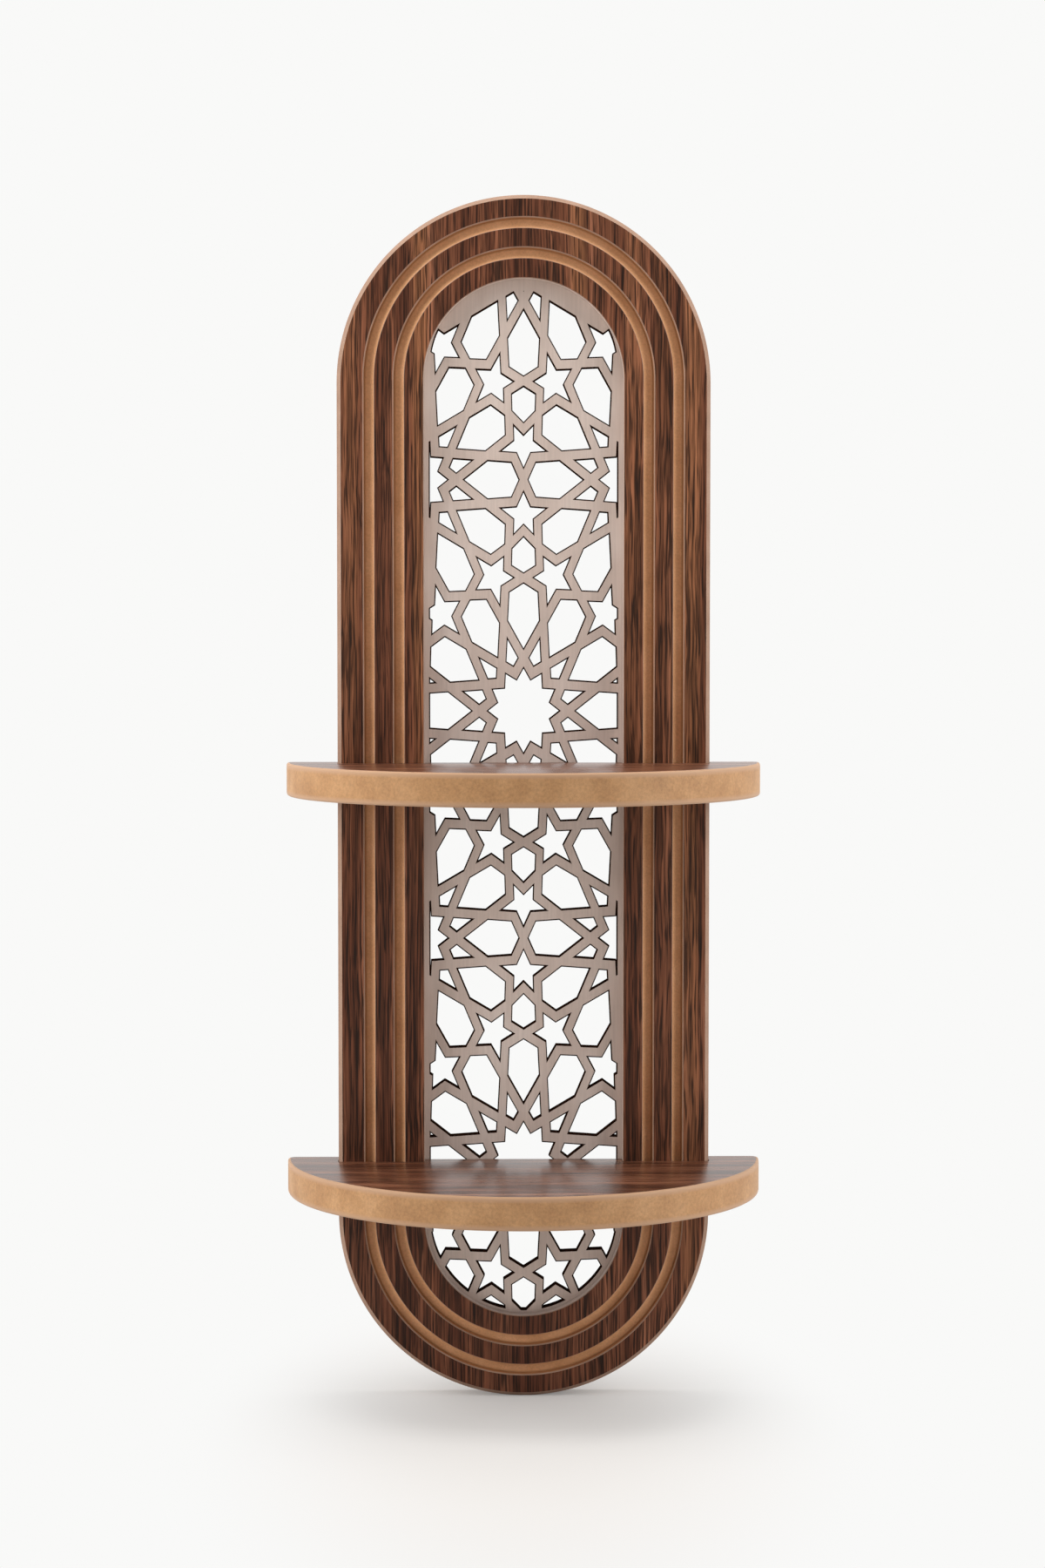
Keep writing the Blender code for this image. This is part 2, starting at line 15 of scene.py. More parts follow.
import bmesh
import bpy
from bmesh.types import BMesh, BMVert
from bpy.types import Material, Node, NodeSocket, NodeTree, Object
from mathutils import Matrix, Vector


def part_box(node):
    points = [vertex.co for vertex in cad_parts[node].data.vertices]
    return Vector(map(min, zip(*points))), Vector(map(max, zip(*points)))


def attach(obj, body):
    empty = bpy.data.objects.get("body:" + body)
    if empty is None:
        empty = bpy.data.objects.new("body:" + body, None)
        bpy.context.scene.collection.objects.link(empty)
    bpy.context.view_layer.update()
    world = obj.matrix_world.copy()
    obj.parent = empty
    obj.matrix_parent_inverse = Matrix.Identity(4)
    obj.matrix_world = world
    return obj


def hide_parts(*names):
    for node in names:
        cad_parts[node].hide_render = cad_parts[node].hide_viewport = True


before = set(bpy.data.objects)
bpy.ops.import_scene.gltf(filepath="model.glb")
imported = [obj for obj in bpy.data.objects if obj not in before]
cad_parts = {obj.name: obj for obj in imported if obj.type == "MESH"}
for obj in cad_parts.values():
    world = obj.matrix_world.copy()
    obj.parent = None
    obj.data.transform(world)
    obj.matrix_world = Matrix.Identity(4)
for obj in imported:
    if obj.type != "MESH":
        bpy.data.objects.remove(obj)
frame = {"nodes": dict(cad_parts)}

LOG = logging.getLogger("wall_shelf")
BODY = "root"
MM = 0.001
SIDES = ("left", "right")
SHELVES = ("upper", "lower")

# The mesh attributes that hold a point's share of a second tone, which is painted shade in the grooves
# and a paler tone on the rims' eased edges, and a strip's kind of face.
SHADE_AND_PALE_EDGE = "wear"
FACE = "face"

# The span of most values of a noise, and the sockets that hold the two ends of a span.
NOISE_SPAN = (0.3, 0.7)
FROM = ("From Min", "From Max")
TO = ("To Min", "To Max")

# Blender's names of the node types that are used most.
MATH = "ShaderNodeMath"
WHOLE_MATH = "FunctionNodeIntegerMath"
COMPARE = "FunctionNodeCompare"
MAP_RANGE = "ShaderNodeMapRange"
MIX = "ShaderNodeMix"
RAMP = "ShaderNodeValToRGB"
JOIN_XYZ = "ShaderNodeCombineXYZ"
SPLIT_XYZ = "ShaderNodeSeparateXYZ"
SWITCH = "GeometryNodeSwitch"
GROUP = "GeometryNodeGroup"
SET_MATERIAL = "GeometryNodeSetMaterial"
SET_POSITION = "GeometryNodeSetPosition"

Outline = list[tuple[float, float]]
Inputs = dict[str | tuple[str, str], Any] | list[Any]


def linear(colour: str) -> tuple[float, float, float, float]:
    """Turns an sRGB hex colour into linear light.

    Args:
        colour: Colour such as "#8a6a50".

    Returns:
        Red, green, blue and an alpha of 1.
    """
    channels = [int(colour[place : place + 2], 16) / 255 for place in (1, 3, 5)]
    light = [c / 12.92 if c <= 0.04045 else ((c + 0.055) / 1.055) ** 2.4 for c in channels]
    return (light[0], light[1], light[2], 1.0)


def add_node(
    tree: NodeTree,
    kind: str,
    inputs: Inputs | None = None,
    stops: list[tuple[float, str]] | None = None,
    **settings: Any,
) -> Node:
    """Adds a node with its settings, values and links.

    Args:
        tree: Tree that gets the node.
        kind: Blender's name of the node type.
        inputs: Value, node or socket for each input, in the inputs' order or by their names. A list links
            several to one input, and a pair of names takes a pair of values.
        stops: Places and hex colours of a colour ramp.
        settings: The node's own properties.

    Returns:
        The new node.
    """
    node = tree.nodes.new(kind)
    for name, value in settings.items():
        setattr(node, name, value)
    if stops:
        ramp = node.color_ramp.elements
        for _ in stops[2:]:
            ramp.new(1.0)
        for element, (place, colour) in zip(ramp, stops):
            element.position = place
            element.color = linear(colour)
    named = dict(enumerate(inputs)) if isinstance(inputs, list) else inputs or {}
    pairs: list[tuple[str | int, Any]] = []
    for key, value in named.items():
        pairs += zip(key, value) if isinstance(key, tuple) else [(key, value)]
    for key, value in pairs:
        by_name = [socket for socket in node.inputs if socket.enabled and socket.name == key]
        socket = by_name[0] if by_name else node.inputs[key]
        for source in value if isinstance(value, list) else [value]:
            if isinstance(source, Node):
                source = next(output for output in source.outputs if output.enabled)
            if isinstance(source, NodeSocket):
                tree.links.new(source, socket)
            else:
                socket.default_value = source
    return node


@dataclass(frozen=True)
class Figure:
    """A noise pattern, given by the size of one of its figures in millimetres along X, Y and Z."""

    size_mm: tuple[float, float, float]
    detail: float = 3.0
    roughness: float = 0.5

    def add(self, tree: NodeTree, place: NodeSocket | Node) -> Node:
        """Adds the pattern to a material.

        Args:
            tree: The material's tree.
            place: Coordinates in metres.

        Returns:
            The noise.
        """
        scale = tuple(1 / (size * MM) for size in self.size_mm)
        scaled = add_node(tree, "ShaderNodeMapping", {"Vector": place, "Scale": scale})
        inputs = {"Vector": scaled, "Scale": 1.0, "Detail": self.detail, "Roughness": self.roughness}
        return add_node(tree, "ShaderNodeTexNoise", inputs)


class Grain(Enum):
    """The way a board's grain runs."""

    UPRIGHT = "along Z"
    ACROSS = "along X"

    def figure(self, width_mm: float, length_mm: float, *noise: float) -> Figure:
        """Lays a pattern along the grain.

        Args:
            width_mm: Width of one figure across the grain.
            length_mm: Length of one figure along the grain.
            noise: The noise's detail and roughness, where they aren't the usual ones.

        Returns:
            The pattern.
        """
        if self is Grain.UPRIGHT:
            return Figure((width_mm, width_mm, length_mm), *noise)
        return Figure((length_mm, width_mm, width_mm), *noise)


@dataclass(frozen=True)
class Finish:
    """A surface finish, which makes one material."""

    name: str

    def make(self) -> Material:
        """Builds the material from the finish's own nodes.

        Returns:
            The new material.
        """
        material = bpy.data.materials.new(self.name)
        material.use_nodes = True
        tree = material.node_tree
        tree.nodes.clear()
        place = add_node(tree, "ShaderNodeTexCoord").outputs["Object"]
        shader = add_node(tree, "ShaderNodeBsdfPrincipled", self.surface(tree, place))
        add_node(tree, "ShaderNodeOutputMaterial", {"Surface": shader})
        return material

    def surface(self, tree: NodeTree, place: NodeSocket) -> dict[str, Any]:
        """Adds the finish's pattern and returns the shader's inputs.

        Args:
            tree: The material's tree.
            place: Object coordinates.

        Returns:
            Values and nodes for the inputs of the shader.
        """
        raise NotImplementedError

    @staticmethod
    def shaded(
        tree: NodeTree,
        tone: Node,
        figure: Node,
        span: tuple[float, float],
        shades: tuple[float, float],
    ) -> Node:
        """Darkens and lightens a tone by a figure.

        Args:
            tree: The material's tree.
            tone: The colour.
            figure: The noise.
            span: The noise's values that give the darkest and the lightest shade.
            shades: Those two shades, as shares of the colour.

        Returns:
            The shaded colour.
        """
        shade = add_node(tree, MAP_RANGE, {"Value": figure, FROM: span, TO: shades})
        return add_node(
            tree, MIX, {"Factor": 1.0, "A": tone, "B": shade}, data_type="RGBA", blend_type="MULTIPLY"
        )


@dataclass(frozen=True)
class GrainAndShadeStreak:
    """A streak of tone along an upright grain, with its strength above and below the upper shelf.

    Its strength changes between two heights in metres, and it fades out over the outer half of each side.
    The step at the upper shelf is painted shade: the dark streaks grow below the shelf and the light ones
    fade there, so the uprights darken where the shelf's shadow falls.
    """

    place_mm: float
    tone: str
    upper: float
    lower: float
    half_mm: float = 6.0
    painted_shade_change: tuple[float, float] = (-0.40, -0.25)

    def lay(self, tree: NodeTree, x: NodeSocket, z: NodeSocket, tone: Node) -> Node:
        """Lays the streak over a tone.

        Args:
            tree: The material's tree.
            x: Place across the grain.
            z: Place along the grain.
            tone: The colour underneath.

        Returns:
            The streaked colour.
        """
        # The strength steps between the two heights, which paints shade below the upper shelf.
        levels = {"Value": z, FROM: self.painted_shade_change, TO: (self.lower, self.upper)}
        share = add_node(tree, MAP_RANGE, levels)
        offset = add_node(tree, MATH, [x, self.place_mm * MM], operation="SUBTRACT")
        distance = add_node(tree, MATH, [offset], operation="ABSOLUTE")
        half = self.half_mm * MM
        fade = {"Value": distance, FROM: (half / 2, half), TO: (share, 0.0)}
        strength = add_node(tree, MAP_RANGE, fade)
        return add_node(
            tree, MIX, {"Factor": strength, "A": tone, "B": linear(self.tone)}, data_type="RGBA"
        )


@dataclass(frozen=True)
class WalnutDecor(Finish):
    """Walnut decor: printed melamine pressed on the board, satin, with pores sunk along the grain.

    The eye sees bands of brown some 10 to 20 mm wide, fine fibres in them, short dark pore strokes, and
    here and there a lighter or a darker streak. Streaks that change strength at the upper shelf also paint
    shade below it. The pores are drawn about twice as wide as real ones, so that they show. Each pattern
    is given by its width and length in millimetres along the grain, and its noise's detail and roughness.
    """

    grain: Grain = Grain.UPRIGHT
    night: str = "#1f130d"
    dusk: str = "#553122"
    body: str = "#704531"
    light: str = "#895942"
    ember: str = "#9d6947"
    tone_places: tuple[float, ...] = (0.23, 0.40, 0.53, 0.66, 0.80)
    grain_and_shade_streaks: tuple[GrainAndShadeStreak, ...] = ()
    waver: tuple[float, ...] = (25.0, 60.0, 1.0)
    waver_reach_mm: float = 3.0
    bands: tuple[float, ...] = (11.0, 330.0, 2.5, 0.6)
    fibres: tuple[float, ...] = (1.3, 90.0, 4.0, 0.6)
    fibre_span: tuple[float, float] = (0.36, 0.66)
    fibre_shades: tuple[float, float] = (0.22, 1.7)
    pores: tuple[float, ...] = (0.9, 30.0, 1.0, 0.6)
    pore_span: tuple[float, float] = (0.52, 0.64)
    pore_ink: float = 0.85
    pore_strength: float = 0.5
    pore_depth_mm: float = 0.06
    roughness: tuple[float, float] = (0.40, 0.52)
    specular: float = 0.15

    def surface(self, tree: NodeTree, place: NodeSocket) -> dict[str, Any]:
        """Adds the wavering grain and returns the shader's inputs, as Finish.surface does."""
        waver = self.grain.figure(*self.waver).add(tree, place).outputs["Color"]
        reach = (self.waver_reach_mm * MM,) * 3
        bent = add_node(tree, "ShaderNodeVectorMath", [waver, reach, place], operation="MULTIPLY_ADD")
        patterns = (self.bands, self.fibres, self.pores)
        band, fibre, pore = [self.grain.figure(*pattern).add(tree, bent) for pattern in patterns]
        tones = (self.night, self.dusk, self.body, self.light, self.ember)
        tone = add_node(tree, RAMP, {"Fac": band}, stops=[*zip(self.tone_places, tones)])
        bent_place = add_node(tree, SPLIT_XYZ, [bent]).outputs
        for streak in self.grain_and_shade_streaks:
            tone = streak.lay(tree, bent_place["X"], bent_place["Z"], tone)
        fibred = self.shaded(tree, tone, fibre, self.fibre_span, self.fibre_shades)
        strokes = {"Value": pore, FROM: self.pore_span, TO: (0.0, self.pore_ink)}
        ink = add_node(tree, MAP_RANGE, strokes)
        colour = add_node(
            tree, MIX, {"Factor": ink, "A": fibred, "B": linear(self.night)}, data_type="RGBA"
        )
        sunk = {"Height": ink, "Strength": self.pore_strength, "Distance": self.pore_depth_mm * MM}
        gloss = {"Value": fibre, FROM: NOISE_SPAN, TO: self.roughness}
        return {
            "Base Color": colour,
            "Roughness": add_node(tree, MAP_RANGE, gloss),
            "Normal": add_node(tree, "ShaderNodeBump", sunk, invert=True),
            "Specular IOR Level": self.specular,
        }


@dataclass(frozen=True)
class RawCore(Finish):
    """Raw MDF: pressed wood fibre, sawn or routed, so matt, with clouds of tone and fine fibre flecks.

    Where a second colour is given, the tone is mixed towards it as far as the mesh's attribute says: in
    the grooves that colour is painted shade beside their steep outer walls, and on the shelves' rims it is
    a paler tone on the eased edges.
    """

    dark: str
    body: str
    pale: str
    tone_places: tuple[float, ...] = (0.3, 0.5, 0.7)
    clouds: Figure = Figure((16.0, 16.0, 16.0))
    flecks: Figure = Figure((1.2, 1.2, 1.2), roughness=0.7)
    fleck_shades: tuple[float, float] = (0.88, 1.10)
    fleck_strength: float = 0.4
    fleck_depth_mm: float = 0.05
    roughness: float = 0.7
    specular: float = 0.25
    painted_shade_and_pale_edge_tone: str = ""

    def surface(self, tree: NodeTree, place: NodeSocket) -> dict[str, Any]:
        """Adds clouds and flecks and returns the shader's inputs, as Finish.surface does."""
        cloud = self.clouds.add(tree, place)
        fleck = self.flecks.add(tree, place)
        stops = [*zip(self.tone_places, (self.dark, self.body, self.pale))]
        tone = add_node(tree, RAMP, {"Fac": cloud}, stops=stops)
        colour = self.shaded(tree, tone, fleck, NOISE_SPAN, self.fleck_shades)
        # Painted shade in the grooves, and a paler tone on the rims' eased edges, by the mesh's attribute.
        if self.painted_shade_and_pale_edge_tone:
            wear = add_node(tree, "ShaderNodeAttribute", attribute_name=SHADE_AND_PALE_EDGE).outputs["Fac"]
            colour = add_node(
                tree, MIX, {"Factor": wear, "A": colour, "B": linear(self.painted_shade_and_pale_edge_tone)}, data_type="RGBA"
            )
        proud = {"Height": fleck, "Strength": self.fleck_strength, "Distance": self.fleck_depth_mm * MM}
        return {
            "Base Color": colour,
            "Roughness": self.roughness,
            "Normal": add_node(tree, "ShaderNodeBump", proud),
            "Specular IOR Level": self.specular,
        }


@dataclass(frozen=True)
class TaupePaint(RawCore):
    """Taupe paint on a thin fibreboard panel: matt, rolled on, slightly cloudy with faint upright strokes.

    It covers the raw board, so it has the board's patterns, drawn out by the roller.
    """

    dark: str = "#c6b4a9"
    body: str = "#cfbdb2"
    pale: str = "#d8c8be"
    clouds: Figure = Grain.UPRIGHT.figure(30.0, 55.0)
    flecks: Figure = Grain.UPRIGHT.figure(1.1, 26.0)
    fleck_shades: tuple[float, float] = (0.95, 1.05)
    fleck_strength: float = 0.3
    fleck_depth_mm: float = 0.03
    roughness: float = 0.58
    specular: float = 0.2


@dataclass(frozen=True)
class CharredCut(Finish):
    """Laser-cut fibreboard edge: charred dark brown, matt, with fine striations through the thickness."""

    soot: str = "#0c0604"
    brown: str = "#3a2014"
    tone_places: tuple[float, float] = (0.35, 0.72)
    striae: Figure = Figure((0.9, 9.0, 0.9), detail=2.0)
    roughness: float = 0.85

    def surface(self, tree: NodeTree, place: NodeSocket) -> dict[str, Any]:
        """Adds the striations and returns the shader's inputs, as Finish.surface does."""
        stria = self.striae.add(tree, place)
        stops = [*zip(self.tone_places, (self.soot, self.brown))]
        colour = add_node(tree, RAMP, {"Fac": stria}, stops=stops)
        return {"Base Color": colour, "Roughness": self.roughness, "Specular IOR Level": 0.0}


@dataclass(frozen=True)
class PlatedSteel(Finish):
    """Zinc-plated steel: a thin bright metal coat with soft patches of bloom and a little tint.

    Roughness goes from the bloom's to the bright metal's.
    """

    base: str = "#c3c5c6"
    bloom: str = "#aeb1b0"
    tone_places: tuple[float, float] = (0.35, 0.65)
    patches: Figure = Figure((2.2, 2.2, 2.2), detail=4.0)
    roughness: tuple[float, float] = (0.42, 0.24)

    def surface(self, tree: NodeTree, place: NodeSocket) -> dict[str, Any]:
        """Adds the patches and returns the shader's inputs, as Finish.surface does."""
        patch = self.patches.add(tree, place)
        stops = [*zip(self.tone_places, (self.bloom, self.base))]
        colour = add_node(tree, RAMP, {"Fac": patch}, stops=stops)
        gloss = add_node(tree, MAP_RANGE, {"Value": patch, FROM: NOISE_SPAN, TO: self.roughness})
        return {"Base Color": colour, "Roughness": gloss, "Metallic": 1.0}


@dataclass(frozen=True)
class TurnedBeech(Finish):
    """Beech dowel rod: pale pinkish wood, turned, with short dark flecks along the rod."""

    body: str = "#c9a47a"
    fleck: str = "#a67c54"
    tone_places: tuple[float, float] = (0.5, 0.68)
    flecks: Figure = Figure((0.5, 3.0, 0.5), detail=2.0)
    roughness: float = 0.6

    def surface(self, tree: NodeTree, place: NodeSocket) -> dict[str, Any]:
        """Adds the flecks and returns the shader's inputs, as Finish.surface does."""
        stops = [*zip(self.tone_places, (self.body, self.fleck))]
        colour = add_node(tree, RAMP, {"Fac": self.flecks.add(tree, place)}, stops=stops)
        return {"Base Color": colour, "Roughness": self.roughness}


class Palette:
    """The materials of the wall shelf, each made once."""

    def __init__(self) -> None:
        """Makes every material."""
        dusk, ember = WalnutDecor.dusk, WalnutDecor.ember
        # Streaks of grain. Their strength steps at the upper shelf, which paints shade: the dark ones grow
        # and the light ones fade below the shelf, and the wide middle one darkens the foot.
        grain_and_shade_streaks = (
            GrainAndShadeStreak(0.0, dusk, 0.0, 0.35, half_mm=60.0),
            GrainAndShadeStreak(-99.0, ember, 0.26, 0.0),
            GrainAndShadeStreak(-99.0, dusk, 0.0, 0.45),
            GrainAndShadeStreak(-81.0, dusk, 0.55, 0.75),
            GrainAndShadeStreak(-58.0, ember, 0.45, 0.0),
            GrainAndShadeStreak(-64.0, dusk, 0.0, 0.7),
            GrainAndShadeStreak(33.0, ember, 0.45, 0.0),
            GrainAndShadeStreak(64.0, dusk, 0.0, 0.4),
            GrainAndShadeStreak(65.0, ember, 0.22, 0.0),
            GrainAndShadeStreak(82.0, ember, 0.14, 0.0),
            GrainAndShadeStreak(99.0, ember, 0.46, 0.36),
        )
        self.frame_decor = WalnutDecor("walnut_decor_upright", grain_and_shade_streaks=grain_and_shade_streaks).make()
        self.shelf_decor = WalnutDecor(
            "walnut_decor_across",
            grain=Grain.ACROSS,
            specular=0.65,
            roughness=(0.25, 0.32),
            pore_depth_mm=0.015,
        ).make()
        self.rim = RawCore(
            "sanded_fibreboard_rim",
            "#a3784f",
            "#ad8257",
            "#b78c61",
            flecks=Figure((1.7, 1.7, 1.7), roughness=0.7),
            fleck_shades=(0.82, 1.16),
            painted_shade_and_pale_edge_tone="#b28d6e",
            roughness=0.5,
            specular=0.5,
        ).make()
        # Its second colour is painted shade in the grooves, beside their steep outer walls.
        self.core = RawCore(
            "routed_fibreboard_core", "#d29d71", "#d9a478", "#dfab80", painted_shade_and_pale_edge_tone="#a2734c"
        ).make()
        self.arris = RawCore(
            "sanded_fibreboard_arris",
            "#967866",
            "#9d7f6c",
            "#a48674",
            flecks=Figure((0.8, 0.8, 0.8), roughness=0.7),
        ).make()
        self.paint = TaupePaint("taupe_paint").make()
        self.char = CharredCut("charred_laser_cut").make()
        self.zinc = PlatedSteel("zinc_plated_steel").make()
        self.yellow_zinc = PlatedSteel("yellow_passivated_steel", "#cdb069", "#b8925a").make()
        self.beech = TurnedBeech("turned_beech").make()


def new_object(name: str, bm: BMesh, *materials: Material) -> Object:
    """Turns a bmesh into a linked object with its faces pointing outwards.

    Args:
        name: The object's name.
        bm: The mesh, which is freed.
        materials: The object's material slots.

    Returns:
        The new object.
    """
    bmesh.ops.recalc_face_normals(bm, faces=bm.faces)
    mesh = bpy.data.meshes.new(name)
    bm.to_mesh(mesh)
    bm.free()
    for material in materials:
        mesh.materials.append(material)
    result = bpy.data.objects.new(name, mesh)
    bpy.context.scene.collection.objects.link(result)
    return result


def settle(piece: Object) -> None:
    """Turns a piece's evaluated result into its plain mesh and takes its modifiers away.

    Args:
        piece: The piece with its modifiers.
    """
    graph = bpy.context.evaluated_depsgraph_get()
    graph.update()
    mesh = bpy.data.meshes.new_from_object(piece.evaluated_get(graph), depsgraph=graph)
    piece.modifiers.clear()
    piece.data = mesh


def cut(piece: Object, tool: Object, solver: str = "EXACT") -> None:
    """Cuts a tool's shape, with its finish, out of a piece and removes the tool.

    Args:
        piece: The piece to cut.
        tool: A closed object.
        solver: Blender's name of the Boolean solver.
    """
    modifier = piece.modifiers.new("cut", "BOOLEAN")
    modifier.object = tool
    modifier.operation = "DIFFERENCE"
    modifier.solver = solver
    modifier.material_mode = "TRANSFER"
    settle(piece)
    bpy.data.objects.remove(tool)


def shade(piece: Object, degrees: float = 28.0) -> None:
    """Shades a piece smooth, apart from edges sharper than an angle."""
    piece.data.shade_smooth()
    piece.data.set_sharp_from_angle(angle=math.radians(degrees))


def register(piece: Object, slot: str, *nodes: str) -> None:
    """Lets a finished piece ride on the shelf in place of its CAD nodes.

    Args:
        piece: The finished piece.
        slot: The record's material slot, which is not used.
        nodes: The CAD nodes that the piece stands for.
    """
    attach(piece, BODY)
    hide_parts(*nodes)
    LOG.info("%s: %d faces, for %s", piece.name, len(piece.data.polygons), ", ".join(nodes))


def arc(
    radius: float, start: float, end: float, steps: int, centre: tuple[float, float] = (0.0, 0.0)
) -> Outline:
    """Works out the points of an arc.

    Args:
        radius: Radius of the arc.
        start: First angle in degrees.
        end: Last angle in degrees.
        steps: Number of chords.
        centre: Centre of the arc.

    Returns:
        The points, both ends included.
    """
    angles = [math.radians(start + (end - start) * k / steps) for k in range(steps + 1)]
    return [(centre[0] + radius * math.cos(a), centre[1] + radius * math.sin(a)) for a in angles]


def add_skin(bm: BMesh, rings: list[list[BMVert]], side_slot: int = 0) -> None:
    """Joins rings of vertices into a closed solid.

    Args:
        bm: The mesh that gets the solid.
        rings: The rings in order, with as many vertices in each.
        side_slot: Material slot of the faces between the rings.
    """
    for ring, after in zip(rings, rings[1:]):
        for k in range(len(ring)):
            following = (k + 1) % len(ring)
            face = bm.faces.new((ring[k], ring[following], after[following], after[k]))
            face.material_index = side_slot
    bm.faces.new(rings[0])
    bm.faces.new(rings[-1])


def add_loft(bm: BMesh, levels: list[tuple[float, Outline]]) -> None:
    """Adds a closed solid along Y.

    Args:
        bm: The mesh that gets the solid.
        levels: Depth and outline in the XZ plane of each level, with as many points in each outline.
    """
    add_skin(bm, [[bm.verts.new((x, y, z)) for x, z in outline] for y, outline in levels])


def add_turned(bm: BMesh, profile: Outline, sides: int, x: float = 0.0, z: float = 0.0) -> None:
    """Adds a closed turned solid along Y.

    Args:
        bm: The mesh that gets the solid.
        profile: Points of radius and depth, from one end to the other.
        sides: Number of sides.
        x: Place of the axis.
        z: Place of the axis.
    """
    add_loft(bm, [(y, arc(radius, 0, 360, sides, (x, z))[:-1]) for radius, y in profile])


class NodeTool:
    """A Geometry Nodes tree with named inputs."""

    def __init__(self, name: str, inputs: dict[str, str], outputs: dict[str, str] | None = None) -> None:
        """Makes the tree with its sockets.

        Args:
            name: The tree's name.
            inputs: Socket type for each input's name.
            outputs: Socket type for each output's name, or none for one geometry.
        """
        self.tree = bpy.data.node_groups.new(name, "GeometryNodeTree")
        for label, kind in inputs.items():
            self.tree.interface.new_socket(label, in_out="INPUT", socket_type=f"NodeSocket{kind}")
        for label, kind in (outputs or {"Geometry": "Geometry"}).items():
            self.tree.interface.new_socket(label, in_out="OUTPUT", socket_type=f"NodeSocket{kind}")
        self.given = add_node(self.tree, "NodeGroupInput").outputs

    def add(self, kind: str, inputs: Inputs | None = None, **settings: Any) -> Node:
        """Adds a node to the tree, as add_node does."""
        return add_node(self.tree, kind, inputs, **settings)

    def close(self, **results: Any) -> None:
        """Links the results to the tree's outputs."""
        self.add("NodeGroupOutput", {name.replace("_", " "): value for name, value in results.items()})

    def put_on(self, piece: Object, **values: Any) -> None:
        """Runs the tree on a piece and keeps the result as its mesh.

        Args:
            piece: The piece, whose mesh is the tree's geometry input.
            values: Value for each input, with underscores for the spaces in its name.
        """
        modifier = piece.modifiers.new(self.tree.name, "NODES")
        modifier.node_group = self.tree
        for item in self.tree.interface.items_tree:
            key = item.name.lower().replace(" ", "_")
            if item.in_out == "INPUT" and key in values:
                modifier[item.identifier] = values[key]
        settle(piece)


def round_end_path() -> NodeTool:
    """Makes the tree that says where a point of a round-ended loop lies.

    The loop runs over the upper half circle, down the left side and back round the lower half circle, with
    both ends of each half circle on it.

    Returns:
        A tree that turns an index on the loop into a cosine, a sine, and which end it belongs to.
    """
    tool = NodeTool(
        "round_end_path",
        {"Index": "Int", "End Steps": "Int"},
        {"Cosine": "Float", "Sine": "Float", "Is Lower": "Bool", "End Sign": "Float"},
    )
    index, steps = tool.given["Index"], tool.given["End Steps"]
    lower = tool.add(COMPARE, {"A": index, "B": steps}, data_type="INT", operation="GREATER_THAN")
    place = tool.add(MATH, [index, lower], operation="SUBTRACT")
    share = tool.add(MATH, [place, steps], operation="DIVIDE")
    angle = tool.add(MATH, [share, math.pi], operation="MULTIPLY")
    tool.close(
        Cosine=tool.add(MATH, [angle], operation="COSINE"),
        Sine=tool.add(MATH, [angle], operation="SINE"),
        Is_Lower=lower,
        End_Sign=tool.add(MATH, [lower, -2.0, 1.0], operation="MULTIPLY_ADD"),
    )
    return tool


class BoardFace(Enum):
    """What a strip of the frame's section shows, as its number in the section's attribute."""

    DECOR = 0
    CORE = 1
    ARRIS = 2
    WALL = 3
    SIDE = 4


